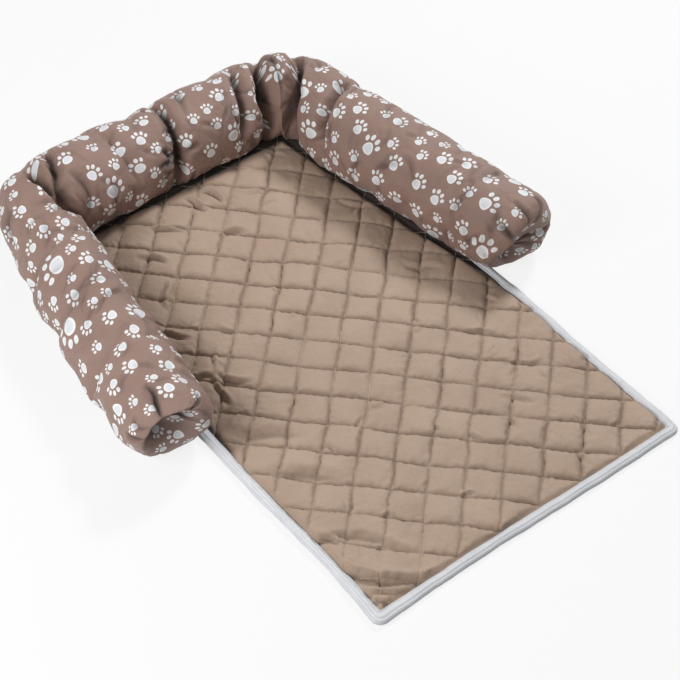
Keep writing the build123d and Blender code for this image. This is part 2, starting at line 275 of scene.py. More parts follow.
def backing_cloth():
    """Plain cloth under the mat, with the quilting's stitches showing through."""
    cloth = Finish("backing_cloth")
    x, y = cloth.on_map("flat")
    weave = x.wave(1.4 * mm) * y.wave(1.4 * mm)
    slub = cloth.noise(3 * mm)
    lines = None
    first_start, second_start = quilt_start[0] + quilt_start[1], quilt_start[1] - quilt_start[0]
    for along, across, start in ((x + y, y - x, first_start), (y - x, x + y, second_start)):
        cell = ((along - start) * math.sqrt(0.5)) / quilt_pitch + 0.5
        from_line = abs(cell.maths("FRACT") - 0.5)
        seam = from_line.within(0.7 * mm / quilt_pitch, 0.5 * mm / quilt_pitch)
        dash = (across * math.sqrt(0.5)).wave(3.6 * mm).within(0.45, 0.3)
        row = seam * (0.35 + dash * 0.65)
        lines = row if lines is None else lines.larger(row)
    colour = cloth.mix(cloth.noise(60 * mm), "#85756a", "#95857a")
    return cloth.surface(
        weave * 0.5 + slub * 0.5 - lines * 2.0,
        0.2 * mm,
        Base_Color=cloth.mix(lines, colour, "#b6a596"),
        Roughness=0.8 + slub * 0.1,
        Sheen_Weight=0.1,
    )


# The toes of one half of a paw: place beside and above its middle, lean, width and height
toes = ((0.18, 0.33, 8, 0.115, 0.155), (0.44, 0.12, 28, 0.110, 0.145))


def paw_mask(x, y, grow, softness):
    """A paw print of unit height, with its toes towards +y: a pad and four toes."""
    side = abs(x)
    pad_y = y + 0.20
    taper = 0.31 - pad_y * 0.24
    pad = ((side / taper) ** 2.0 + (abs(pad_y) / 0.30) ** 2.2) ** 0.5
    shape = (pad * 0.29).within(0.29 + grow, softness)
    for toe_x, toe_y, lean, wide, tall in toes:
        turn = math.radians(lean)
        dx, dy = side - toe_x, y - toe_y
        across = dx * math.cos(turn) + dy * -math.sin(turn)
        up = dx * math.sin(turn) + dy * math.cos(turn)
        toe = ((across / wide) ** 2.0 + (abs(up) / tall) ** 2.0) ** 0.5
        shape = shape.larger((toe * wide).within(wide + grow, softness))
    return shape


def bolster_cloth():
    """Smooth woven cloth with a plain print of paws, and painted shade in its creases and folds."""
    cloth = Finish("bolster_cloth")
    u, v = cloth.on_map("cloth")
    x, y = cloth.on_map("paws")
    weave = u.wave(0.8 * mm) * v.wave(0.8 * mm)
    slub = cloth.noise(1.8 * mm, 2.0)
    cloudy = cloth.noise(45 * mm)
    crinkle = cloth.noise(11 * mm, 4.0, 0.55)
    ground = cloth.mix(cloudy * 0.75 + slub * 0.25, "#866a5f", "#9f8377")
    ink = cloth.mix(paw_mask(x, y, -0.075, 0.04), "#f8f7f7", "#e2e5ea")
    paw = paw_mask(x, y, 0.0, 0.03)
    # Painted shade in the creases, the small folds and the gathered ends
    painted_fold_shade = cloth.attribute("painted_fold_shade").smaller(1.0)
    return cloth.surface(
        weave * 0.25 + slub * 0.8 + paw * 0.3 + crinkle * 7.0 + cloth.folds(34 * mm) * 5.0,
        0.12 * mm,
        Base_Color=cloth.mix(painted_fold_shade * 0.88, cloth.mix(paw, ground, ink), "#1e1512"),
        Roughness=0.58 + slub * 0.14 - paw * 0.1,
        Sheen_Weight=0.2,
        Sheen_Roughness=0.4,
    )


def binding_tape():
    """Satin tape with fine ribs along it."""
    tape = Finish("binding_tape")
    _, v = tape.on_map("tape")
    fray = tape.noise(1.5 * mm, 2.0)
    band = v.wave(4.2 * mm) * 0.5 + 0.5
    return tape.surface(
        v.wave(0.7 * mm) * 0.5 + fray * 0.6,
        0.1 * mm,
        Base_Color=tape.mix(tape.noise(30 * mm) * 0.6 + band * 0.4, "#c4c7ce", "#eff0f1"),
        Roughness=0.38 + fray * 0.2,
        Sheen_Weight=0.15,
    )


def sewing_thread(name, dark, light):
    """Twisted thread."""
    thread = Finish(name)
    x, y, z = thread.parts(thread.place())
    twist = (x + y + z * 2.0).wave(0.5 * mm)
    fuzz = thread.noise(0.8 * mm)
    colour = thread.mix(fuzz, dark, light)
    relief = twist * 0.5 + fuzz * 0.5
    return thread.surface(relief, 0.06 * mm, Base_Color=colour, Roughness=0.55 + fuzz * 0.2)


def zip_tape_cloth():
    """Ribbed tape of the zip."""
    tape = Finish("zip_tape")
    rib = tape.parts(tape.place())[0].wave(1.1 * mm)
    fuzz = tape.noise(1.2 * mm)
    colour = tape.mix(fuzz, "#51403c", "#665350")
    relief = rib * 0.6 + fuzz * 0.6
    return tape.surface(relief, 0.12 * mm, Base_Color=colour, Roughness=0.75 + fuzz * 0.15)


def zip_tooth_plastic():
    """Moulded plastic, a little rubbed."""
    plastic = Finish("zip_teeth")
    wear = plastic.noise(4 * mm)
    colour = plastic.mix(wear, "#433531", "#5b4a45")
    return plastic.surface(wear, 0.05 * mm, Base_Color=colour, Roughness=0.35 + wear * 0.25)


def zip_metal():
    """Plated metal with fine scratches."""
    metal = Finish("zip_metal")
    inputs = {"Vector": metal.place(), "Scale": (1.0, 8.0, 8.0)}
    scratch = metal.noise(1.2 * mm, 4.0, vector=metal.add("ShaderNodeMapping", inputs=inputs))
    colour = metal.mix(metal.noise(6 * mm), "#9b9995", "#c3c1bc")
    roughness = 0.24 + scratch * 0.22
    return metal.surface(scratch, 0.03 * mm, Base_Color=colour, Metallic=1.0, Roughness=roughness)


def new_piece(name, points, faces, material):
    """A mesh object of plain points and faces, smooth shaded."""
    mesh = bpy.data.meshes.new(name)
    mesh.from_pydata([tuple(p) for p in points], [], [tuple(f) for f in faces])
    mesh.validate()
    piece = bpy.data.objects.new(name, mesh)
    scene.collection.objects.link(piece)
    mesh.materials.append(material)
    shade_smooth(piece)
    return piece


def shade_smooth(piece):
    piece.data.polygons.foreach_set("use_smooth", [True] * len(piece.data.polygons))


def points_of(piece):
    """The points of a piece's mesh, as rows."""
    points = np.zeros(len(piece.data.vertices) * 3, np.float32)
    piece.data.vertices.foreach_get("co", points)
    return points.reshape(-1, 3).astype(float)


def set_points(piece, points):
    piece.data.vertices.foreach_set("co", np.asarray(points, np.float32).ravel())
    piece.data.update()


def corner_points(mesh):
    """The point at each corner of the faces, by its number."""
    corner = np.zeros(len(mesh.loops), np.int32)
    mesh.loops.foreach_get("vertex_index", corner)
    return corner


def map_of(mesh, name):
    """A map's coordinates at each corner of the faces."""
    values = np.zeros(len(mesh.loops) * 2, np.float32)
    mesh.uv_layers[name].data.foreach_get("uv", values)
    return values.reshape(-1, 2)


def add_map(piece, name, values):
    layer = piece.data.uv_layers.new(name=name)
    layer.data.foreach_set("uv", np.asarray(values, np.float32).ravel())


def marks_of(piece, name):
    """The numbers that an attribute has at each point."""
    marks = np.zeros(len(piece.data.vertices), np.float32)
    piece.data.attributes[name].data.foreach_get("value", marks)
    return marks


def set_marks(piece, name, marks):
    layers = piece.data.attributes
    layer = layers.get(name) or layers.new(name, "FLOAT", "POINT")
    layer.data.foreach_set("value", np.asarray(marks, np.float32))


def recalculate(piece):
    """Turns the faces outwards."""
    shell = bmesh.new()
    shell.from_mesh(piece.data)
    bmesh.ops.recalc_face_normals(shell, faces=shell.faces)
    shell.to_mesh(piece.data)
    shell.free()


def cut(sheet, place, outward):
    """Cuts a sheet along an upright plane, and drops what lies outside it."""
    everything = sheet.verts[:] + sheet.edges[:] + sheet.faces[:]
    bmesh.ops.bisect_plane(sheet, geom=everything, dist=1e-6, plane_co=(*place, 0),
                           plane_no=(*outward, 0), clear_outer=True)


def apply_modifier(piece, name):
    bpy.context.view_layer.objects.active = piece
    bpy.ops.object.modifier_apply(modifier=name)


def subdivide(piece):
    smooth = piece.modifiers.new("smooth", "SUBSURF")
    smooth.levels = 1
    smooth.render_levels = 1
    smooth.uv_smooth = "NONE"
    apply_modifier(piece, "smooth")


def sleeve(lengths, turns, closed=False):
    """Faces and map of rings of points, the rings at lengths and their points at turns. The
    last turn is the first come round again, and so is the last length of a closed sleeve."""
    row_total, ring_total = len(turns) - 1, len(lengths) - closed
    faces, corners = [], []
    for ring, (low, high) in enumerate(zip(lengths, lengths[1:])):
        first, second = ring * row_total, (ring + 1) % ring_total * row_total
        for row in range(row_total):
            after = (row + 1) % row_total
            faces.append((first + row, first + after, second + after, second + row))
            corners.append(((low, turns[row]), (low, turns[row + 1]),
                            (high, turns[row + 1]), (high, turns[row])))
    return faces, corners


def flat_list(corners):
    """The map's numbers one after the other, from the corners of each face."""
    return [value for face in corners for corner in face for value in corner]


def ramp(value, low, high):
    """A smooth step from 0 at low to 1 at high."""
    share = np.clip((value - low) / (high - low), 0.0, 1.0)
    return share * share * (3 - 2 * share)


def peak(value, middle, reach):
    """A smooth bump: 1 at the middle, and nearly 0 beyond its reach."""
    return np.exp(-(((value - middle) / reach) ** 2))


def hills(x, y, length, seed):
    """Smooth random hills and hollows between about -1 and 1, of the given length."""
    draws = np.random.default_rng(seed)
    total = np.zeros_like(x)
    for _ in range(7):
        heading, phase = draws.uniform(0, 2 * math.pi, 2)
        number = 2 * math.pi / (length * draws.uniform(0.7, 1.5))
        total += np.sin((x * math.cos(heading) + y * math.sin(heading)) * number + phase)
    return total / 3.2


def along_fold(x, y, start, end, sway, waves, phase):
    """How far points lie beside a fold's swaying line, how strong the fold is there, which
    fades towards both ends, and its heading."""
    way = np.array(end) - np.array(start)
    length = np.linalg.norm(way)
    way = way / length
    run = ((x - start[0]) * way[0] + (y - start[1]) * way[1]) / length
    off = -(x - start[0]) * way[1] + (y - start[1]) * way[0]
    off = off + sway * length * np.sin(run * math.pi * waves + length * phase)
    return off, np.sin(np.clip(run, 0, 1) * math.pi) ** 0.6, way


def inflate(piece, sewn, pressure, growth, frames, most, bending=0.3):
    """Blows a piece's cloth out from inside, held where it is sewn, and keeps the result."""
    before = points_of(piece)
    group = piece.vertex_groups.new(name="sewn")
    group.add([int(i) for i in np.flatnonzero(sewn)], 1.0, "REPLACE")
    cloth = piece.modifiers.new("cloth", "CLOTH")
    settings = {
        "quality": 4,
        "mass": 0.12,
        "tension_stiffness": 18,
        "compression_stiffness": 18,
        "shear_stiffness": 8,
        "bending_stiffness": bending,
        "use_pressure": True,
        "uniform_pressure_force": pressure,
        "shrink_min": -growth,
        "vertex_group_mass": "sewn",
    }
    for setting, value in settings.items():
        setattr(cloth.settings, setting, value)
    cloth.settings.effector_weights.gravity = 0
    cloth.collision_settings.use_collision = False
    for moment in range(1, frames + 1):
        scene.frame_set(moment)
    after = points_of(piece.evaluated_get(bpy.context.evaluated_depsgraph_get()))
    piece.modifiers.remove(cloth)
    piece.vertex_groups.clear()
    scene.frame_set(1)
    move = after - before
    far = np.linalg.norm(move, axis=1, keepdims=True)
    move *= np.minimum(1.0, most / np.maximum(far, 1e-9))
    set_points(piece, before + move)


# The axis of the bolster
splay = math.radians(arm_splay)
corner_turn = math.pi / 2 - splay
arm_length = arm_reach / math.cos(splay)
tangent = corner_bend * math.tan(corner_turn / 2)
arm_straight = arm_length - tangent
corner_length = corner_bend * corner_turn
bend_x = corner_half_span + tangent * math.sin(splay) - corner_bend * math.cos(splay)
bend_y = back_axis_y - corner_bend
axis_length = 2 * (arm_straight + corner_length) + 2 * bend_x
arm_tip = (corner_half_span + arm_reach * math.tan(splay), back_axis_y - arm_reach)
left_bow = 0.009
right_bow = -0.007

# The stuffed bolster's girth along it, as shares of the axis and of the radius
girth_places = (0, 0.03, 0.10, 0.20, 0.30, 0.36, 0.40, 0.46, 0.52, 0.57, 0.62, 0.66, 0.70, 0.76,
                0.86, 0.97, 1)
girth_shares = (0.97, 1.0, 1.04, 1.05, 1.02, 0.97, 0.98, 1.0, 0.97, 1.03, 1.06, 0.95, 0.86, 0.92,
                0.94, 0.95, 0.93)


def axis_at(along):
    """Points of the axis and its headings, at lengths along it."""
    along = np.asarray(along, float)
    places = np.zeros((len(along), 2))
    heading = np.zeros(len(along))
    mirrored = along > axis_length / 2
    half = np.where(mirrored, axis_length - along, along)
    first = half <= arm_straight
    start = math.pi / 2 + splay
    places[first, 0] = arm_tip[0] + half[first] * math.cos(start)
    places[first, 1] = arm_tip[1] + half[first] * math.sin(start)
    heading[first] = start
    bend = (half > arm_straight) & (half <= arm_straight + corner_length)
    turned = start + (half[bend] - arm_straight) / corner_bend
    places[bend, 0] = bend_x + corner_bend * np.sin(turned)
    places[bend, 1] = bend_y - corner_bend * np.cos(turned)
    heading[bend] = turned
    last = half > arm_straight + corner_length
    places[last, 0] = bend_x - (half[last] - arm_straight - corner_length)
    places[last, 1] = back_axis_y
    heading[last] = math.pi
    bow = np.sin(np.clip(half / arm_straight, 0, 1) * math.pi)
    places[:, 0] += np.where(mirrored, left_bow, right_bow) * bow
    places[mirrored, 0] *= -1
    heading[mirrored] = 2 * math.pi - heading[mirrored]
    return places, heading


# Creases of the bolster: turns round the tube (0 is under it, 90 its inner side, 180 its top)
# with lengths along the axis there, then depth, widths before and after, overlap and sharpness
creases = (
    ((80, 230), (0.371, 0.409), 0.024, 0.020, 0.020, -0.006, 2.6),
    ((15, 252), (0.438, 0.508), 0.046, 0.016, 0.014, -0.010, 1.5),
    ((18, 250), (0.583, 0.531), 0.046, 0.014, 0.016, 0.010, 1.5),
    ((72, 228), (0.624, 0.576), 0.024, 0.021, 0.021, 0.008, 2.6),
    ((28, 244), (0.747, 0.723), 0.030, 0.026, 0.018, -0.010, 2.2),
    ((90, 210), (0.812, 0.828), 0.007, 0.020, 0.020, 0.004, 2.6),
    ((100, 152, 168, 195, 245), (0.968, 0.950, 0.928, 0.917, 0.903),
     0.022, 0.017, 0.013, -0.004, 1.9),
    ((30, 100, 135, 149, 159, 174, 209, 250),
     (0.985, 0.996, 1.003, 0.996, 0.974, 0.957, 0.939, 0.929), 0.052, 0.026, 0.012, 0.010, 1.5),
    ((175, 295), (1.078, 1.092), 0.005, 0.024, 0.024, 0.003, 2.6),
    ((185, 295), (1.197, 1.183), 0.005, 0.026, 0.026, 0.003, 2.6),
    ((175, 295), (1.292, 1.308), 0.004, 0.026, 0.026, 0.003, 2.6),
)
# Creases this deep or deeper get the full painted shade
darkest_crease = 26 * mm
# Where the cloth bulges at the corners: length along the axis, turn, height, and its reach
# along the axis and round the tube
swells = (
    (0.951, 250, 0.010, 0.014, 36),
    (0.521, 160, 0.009, 0.012, 42),
)
lower_squareness = 2.8
# Between these lengths along the axis the rings of cloth are closer together
fine_lengths = ((0.355, 0.645), (0.700, 0.765), (0.895, 1.030))
fine_step = 0.0034
end_cap = 0.046
end_fullness = 2.35
end_reach = 80 * mm
# Where the right and the left end are gathered: how far in, how far up and how far inwards
# from the middle, how far the end is drawn back on one side, the turn of that side and of the
# darkest painted shade, and the pleats there: their turn, half width in degrees and share of depth
end_gathers = (
    (0.024, 0.002, 0.025, 0.022, 40, 120,
     ((138, 17, 1.0), (176, 8, 0.6), (207, 9, 0.8), (266, 10, 0.9), (298, 8, 0.6), (20, 15, 0.7),
      (78, 12, 0.7))),
    (0.030, 0.034, -0.020, 0.014, 350, 305,
     ((200, 9, 1.0), (140, 10, 0.8), (88, 14, 0.8), (320, 20, 1.1), (268, 9, 0.7),
      (236, 7, 0.5))),
)
pleat_depth = 0.017
random_folds = 300


def tube_rings():
    """Where the rings of the bolster's cloth lie along the axis, and the turns of its rows."""
    slot_ends = [axis_length / 2 + side * (zip_slot_half_length + gap * mm)
                 for side in (-1, 1) for gap in (-0.5, 0.5)]
    rings = [end_cap]
    while rings[-1] < axis_length - end_cap - ring_step / 2:
        fine = any(low < rings[-1] < high for low, high in fine_lengths)
        rings.append(rings[-1] + (fine_step if fine else ring_step))
    rings = [r for r in rings if min(abs(r - s) for s in slot_ends) > fine_step / 3]
    rows = np.linspace(0, 360, int(circumference / ring_step), endpoint=False)
    half_slot = math.degrees(math.atan(zip_slot_half_width / zip_facet))
    slot_sides = [zip_around + side * half_slot * share for side in (-1, 1)
                  for share in (0.94, 1.06)]
    rows = [r for r in rows if min(abs(r - s) for s in slot_sides) > 1.4]
    return np.sort(np.concatenate([rings, slot_ends])), np.sort(np.concatenate([rows, slot_sides]))


def bend_stretch(along, around):
    """How much longer the skin is than the axis inside it: over 1 on the outside of a bend."""
    half_way = np.minimum(along, axis_length - along)
    past = arm_straight + corner_length
    bent = ramp(half_way, arm_straight - 20 * mm, arm_straight + 5 * mm)
    bent = bent * (1 - ramp(half_way, past - 5 * mm, past + 20 * mm))
    stretch = 1 - bent * np.sin(np.radians(around)) * bolster_radius / corner_bend
    return np.maximum(0.4, stretch)


def crease_marks(along, around):
    """How deep each point lies in a crease, its painted shade and lean, and if a crease is sewn there."""
    depth, shade, lean = (np.zeros_like(along) for _ in range(3))
    sewn = np.zeros(along.shape, bool)
    for turns, lengths, deep, before, after, overlap, sharpness in creases:
        centre = np.interp(around, turns, lengths)
        off = (along - centre) * bend_stretch(centre, around)
        fold = np.clip(1 - np.where(off < 0, -off / before, off / after), 0, 1) ** sharpness
        fade = 0.27 * (turns[-1] - turns[0])
        edge = ramp(around, turns[0], turns[0] + fade)
        edge = edge * (1 - ramp(around, turns[-1] - fade, turns[-1]))
        # Painted shade, darkest in deep creases
        dark = min(1.0, deep / darkest_crease) * np.clip(fold * edge * 1.15, 0, 1) ** 1.7
        depth += deep * fold * edge
        shade = np.maximum(shade, dark)
        lean += overlap * fold * edge
        sewn |= (fold * edge > 0.55) & (deep > 0.01)
    return depth, shade, lean, sewn


def tube_point(along, around, radius):
    """Points of the tube's skin, for arrays of places along and turns round it."""
    places, heading = axis_at(along)
    turn = np.radians(around)
    inward = radius * np.sin(turn)
    up = -radius * np.cos(turn)
    points = np.zeros((len(along), 3))
    points[:, 0] = places[:, 0] - inward * np.sin(heading)
    points[:, 1] = places[:, 1] + inward * np.cos(heading)
    points[:, 2] = bolster_radius - bolster_sink + up
    return points


def bolster_grid():
    """The bolster's rings and rows of points, then for each point its length along the axis,
    its turn, its share of the girth and how far it is round the curve of the end."""
    rings, rows = tube_rings()
    curve = np.radians(np.array([6, 13, 21, 30, 39, 48, 57, 66, 75, 83]))
    axial = np.array([end_cap * (1 - math.cos(a) ** (2 / end_fullness)) for a in curve])
    radial = np.array([math.sin(a) ** (2 / end_fullness) for a in curve])
    rings = np.concatenate([axial, rings, axis_length - axial[::-1]])
    middle = len(rings) - 2 * len(curve)
    share = np.concatenate([radial, np.ones(middle), radial[::-1]])
    gather = np.concatenate([curve, np.full(middle, math.pi / 2), curve[::-1]])
    along, around = np.meshgrid(rings, rows, indexing="ij")
    grids = [np.repeat(values[:, None], len(rows), 1) for values in (share, gather)]
    return rings, rows, along, around, *grids


def bolster_skin():
    """The points, faces and cloth coordinates of the bolster before it is blown out."""
    rings, rows, along, around, share, gather = bolster_grid()
    girth = np.interp(along / axis_length, girth_places, girth_shares) * bolster_radius
    left_end = along > axis_length / 2
    turn = np.radians(around)
    closeness = peak(gather, math.radians(22), math.radians(19))
    closeness = np.where(gather < math.radians(22), 1.0, closeness)
    drawn = 1 - ramp(gather, math.radians(6), math.radians(86))
    sunk = 1 - ramp(gather, math.radians(10), math.radians(50))
    near_end = 1 - ramp(np.minimum(along, axis_length - along), 0, end_reach)
    cap_dip, inset, raised, aside, painted_end_shade = (np.zeros_like(along) for _ in range(5))
    for is_left, (deep, rise, inwards, drawn_back, side_turn, darkest_turn, pleats) in enumerate(
            end_gathers):
        here = left_end == is_left
        pleat = np.zeros_like(along)
        for middle, half, share_of_depth in pleats:
            off = np.abs((around - middle + 180) % 360 - 180) / half
            pleat = np.maximum(pleat, share_of_depth * np.clip(1 - off, 0, 1) ** 1.4)
        slant = drawn_back * near_end * np.clip(np.cos(turn - math.radians(side_turn)), 0, 1)
        # The painted shade of each gathered end is darkest on one side
        toward_darkest = np.clip(np.cos(turn - math.radians(darkest_turn)), 0, 1)
        cap_dip[here] = (pleat * closeness * pleat_depth)[here]
        inset[here] = (deep * sunk + slant)[here]
        painted_end_shade[here] = ((0.28 + 0.60 * toward_darkest) * ramp(sunk, 0.05, 0.9))[here]
        raised[here] = (rise * drawn)[here]
        aside[here] = (inwards * drawn)[here]
    toward = np.maximum(0, np.sin(turn) * aside - np.cos(turn) * raised) / bolster_radius
    depth, shade, lean, sewn = crease_marks(along, around)
    under = np.clip(np.cos(turn), 0, 1)
    power = lower_squareness - (lower_squareness - 2) * near_end
    squared = (under**power + (1 - under**2) ** (power / 2)) ** (-1 / power)
    swell = np.zeros_like(along)
    for place, middle, high, reach, reach_round in swells:
        swell += high * peak(along, place, reach) * peak(around, middle, reach_round)
    lumps = np.where(left_end, 2.2 * mm, 1.0 * mm)
    soft = lumps * hills(along, np.radians(around) * bolster_radius, 0.060, 3)
    radius = (girth + soft) * share * squared * (1 - 0.55 * toward) + swell - depth - cap_dip * share
    placed = (along + lean + np.where(left_end, -1, 1) * (inset + cap_dip * 0.9)).ravel()
    points = tube_point(placed, around.ravel(), radius.ravel())
    _, heading = axis_at(placed)
    points[:, 0] -= aside.ravel() * np.sin(heading)
    points[:, 1] += aside.ravel() * np.cos(heading)
    points[:, 2] += raised.ravel()
    in_zip = np.abs(along - axis_length / 2) < zip_facet_half + 12 * mm
    in_zip = (in_zip & (np.abs(around - zip_around) < 34)).ravel()
    points = flatten_for_zip(points, in_zip)
    v = rows / 360 * circumference
    v = np.append(v, v[0] + circumference)
    faces, corners = sleeve(rings, v)
    for ring, flipped in ((0, True), (len(rings) - 1, False)):
        first, pole, u = ring * len(rows), len(points), rings[ring]
        points = np.vstack([points, points[first : first + len(rows)].mean(axis=0)])
        order = slice(None, None, -1 if flipped else 1)
        for row in range(len(rows)):
            faces.append((*(first + row, first + (row + 1) % len(rows))[order], pole))
            corners.append((*((u, v[row]), (u, v[row + 1]))[order], (u, v[row])))
    sewn |= (np.abs((around + 180) % 360 - 180) < 30) | (gather < math.radians(25))
    sewn = np.concatenate([sewn.ravel() | in_zip, [True, True]])
    # Painted shade in the creases, in the pleats and on one side of each gathered end, and at the middle of
    # each end
    painted_fold_shade = shade + cap_dip / pleat_depth * closeness * 1.1 + painted_end_shade
    return points, faces, corners, sewn, np.concatenate([painted_fold_shade.ravel(), [0.8, 0.8]])


def flatten_for_zip(points, chosen):
    """Presses the cloth flat where the zip is sewn in, and sinks it under the teeth."""
    drop = math.radians(zip_around - 270)
    out = np.array([0, math.cos(drop), -math.sin(drop)])
    up = np.array([0, math.sin(drop), math.cos(drop)])
    local = points - np.array([0, back_axis_y, bolster_radius - 1 * mm])
    height, across = local @ out, local @ up
    beside = np.abs(points[:, 0])
    near_end = 1 - ramp(beside, zip_facet_half - 10 * mm, zip_facet_half + 12 * mm)
    flat = np.minimum(height, zip_facet + (1 - near_end) * 10 * mm)
    level = near_end * (1 - ramp(np.abs(across), 16 * mm, 30 * mm))
    flat += level * np.maximum(0.0, zip_facet - flat)
    in_slot = (np.abs(across) < zip_slot_half_width) & (beside < zip_slot_half_length)
    flat = np.where(in_slot, flat - zip_slot_depth, flat)
    return points + np.where(chosen, flat - height, 0.0)[:, None] * out


# Printed paws: how tall each kind is and how many the bolster or its end may have of it
paw_kinds = ((0.044, 9), (0.029, 40), (0.0225, 170), (0.0170, 420))
end_paw_kinds = ((0.0220, 3), (0.0165, 5))
paw_gap = 7.8 * mm
end_paw_gap = 3.5 * mm
least_stretch = 0.6
corner_paw = (0.521, 158 / 360 * circumference, -12, 0.028, 0.8)


def scatter(seed, kinds, tries, gap, turns, paws, around, draw_place):
    """Adds paws to the rows given, none too near to others: place, turn, size and stretch."""
    draws = np.random.default_rng(seed)
    for size, wanted in kinds:
        for _ in range(tries):
            if wanted == 0:
                break
            u, v, stretch = draw_place(draws, size)
            beside = np.abs(v - paws[:, 1])
            beside = np.minimum(beside, around - beside)
            apart = np.hypot((u - paws[:, 0]) * stretch, beside) - 0.5 * (size + paws[:, 3])
            if stretch >= least_stretch and (apart > gap).all():
                paws = np.vstack([paws, (u, v, draws.uniform(*turns), size, stretch)])
                wanted -= 1
    return paws


def place_on_tube(draws, size):
    low, high = 0.55 * end_cap + size / 2, axis_length - 0.55 * end_cap - size / 2
    u, v = draws.uniform(low, high), draws.uniform(0, circumference)
    return u, v, bend_stretch(u, v / circumference * 360)


def place_on_end(draws, size):
    """A place on the round end of an arm: how far beside and above its middle."""
    far, turn = draws.uniform(0.012, 0.048 - size / 2), draws.uniform(0, 2 * math.pi)
    return far * math.cos(turn), far * math.sin(turn), 1.0


def nearest_paws(middle, paws, around):
    """For each face the index of its nearest paw, how near it is, and the turn round the tube."""
    best = np.full(len(middle), 1e9)
    chosen = np.zeros(len(middle), int)
    wrap = np.zeros(len(middle))
    for index, (u, v, _, size, stretch) in enumerate(paws):
        for turn in ((-1, 0, 1) if around else (0,)):
            beside = middle[:, 1] - v - turn * around
            far = np.hypot((middle[:, 0] - u) * stretch, beside) / size
            nearer = far < best
            best[nearer] = far[nearer]
            chosen[nearer] = index
            wrap[nearer] = turn * around
    return best, chosen, wrap


def print_paws(piece):
    """Gives each face the coordinates of the paw that is nearest to it."""
    mesh = piece.data
    cloth = map_of(mesh, "cloth").astype(float)
    totals = np.zeros(len(mesh.polygons), np.int32)
    mesh.polygons.foreach_get("loop_total", totals)
    face_of_loop = np.repeat(np.arange(len(totals)), totals)
    spots = points_of(piece)[corner_points(mesh)]

    def face_middles(values):
        middle = np.zeros((len(totals), values.shape[1]))
        np.add.at(middle, face_of_loop, values)
        return middle / totals[:, None]

    middle = face_middles(cloth)
    paws = scatter(21, paw_kinds, 6000, paw_gap, (-55, 55), np.array([corner_paw]),
                   circumference, place_on_tube)
    best, chosen, wrap = nearest_paws(middle, paws, circumference)
    paw = paws[chosen[face_of_loop]]
    offset = cloth - paw[:, :2]
    offset[:, 1] -= wrap[face_of_loop]
    offset[:, 0] *= paw[:, 4]
    ends, headings = axis_at(np.array([0.0, axis_length]))
    for end, heading, seed in zip(ends, headings, (71, 72)):
        beside = np.array([-math.sin(heading), math.cos(heading), 0.0])
        centre = np.array([end[0], end[1], bolster_radius])
        flat = np.stack([(spots - centre) @ beside, spots[:, 2] - centre[2]], 1)
        along = middle[:, 0] if end[0] > 0 else axis_length - middle[:, 0]
        end_paws = scatter(seed, end_paw_kinds, 4000, end_paw_gap, (0, 360), np.zeros((0, 5)),
                           math.inf, place_on_end)
        near_end, end_chosen, _ = nearest_paws(face_middles(flat), end_paws, 0.0)
        on_end = ((along < end_cap) & (near_end < best)) | (along < 0.5 * end_cap)
        loops = on_end[face_of_loop]
        end_paw = end_paws[end_chosen[face_of_loop]]
        paw[loops] = end_paw[loops]
        offset[loops] = (flat - end_paw[:, :2])[loops]
    turned = np.radians(paw[:, 2])
    local = np.stack([offset[:, 0] * np.cos(turned) + offset[:, 1] * np.sin(turned),
                      -offset[:, 0] * np.sin(turned) + offset[:, 1] * np.cos(turned)], 1)
    add_map(piece, "paws", local / paw[:, 3:4])


# Folds of the bolster's cloth that the photograph shows: two ends, each a length along the
# axis and a turn round it, then half width and depth
cloth_folds = (
    ((0.742, 112), (0.770, 128), 0.0045, 0.0045),
    ((0.744, 104), (0.778, 108), 0.0040, 0.0040),
    ((0.742, 96), (0.772, 84), 0.0040, 0.0035),
    ((0.728, 104), (0.700, 118), 0.0045, 0.0035),
    ((0.560, 86), (0.590, 74), 0.0040, 0.0030),
    ((0.520, 200), (0.514, 120), 0.0050, 0.0035),
    ((0.620, 150), (0.634, 100), 0.0045, 0.0030),
    ((0.372, 132), (0.350, 108), 0.0040, 0.0030),
    ((0.905, 160), (0.900, 90), 0.0055, 0.0035),
    ((0.985, 226), (1.020, 262), 0.0060, 0.0040),
    ((1.040, 188), (1.075, 214), 0.0045, 0.0022),
    ((1.386, 202), (1.450, 199), 0.0040, 0.0070),
    ((1.408, 262), (1.452, 262), 0.0040, 0.0055),
    ((1.424, 140), (1.452, 140), 0.0040, 0.0050),
    ((1.412, 238), (1.448, 236), 0.0035, 0.0040),
    ((1.372, 150), (1.404, 120), 0.0045, 0.0025),
    ((1.350, 206), (1.374, 230), 0.0045, 0.0025),
    ((0.046, 132), (0.012, 139), 0.0045, 0.0060),
    ((0.050, 172), (0.012, 176), 0.0040, 0.0045),
    ((0.040, 205), (0.010, 207), 0.0038, 0.0050),
    ((0.036, 266), (0.010, 266), 0.0040, 0.0050),
    ((0.064, 158), (0.048, 120), 0.0045, 0.0030),
)


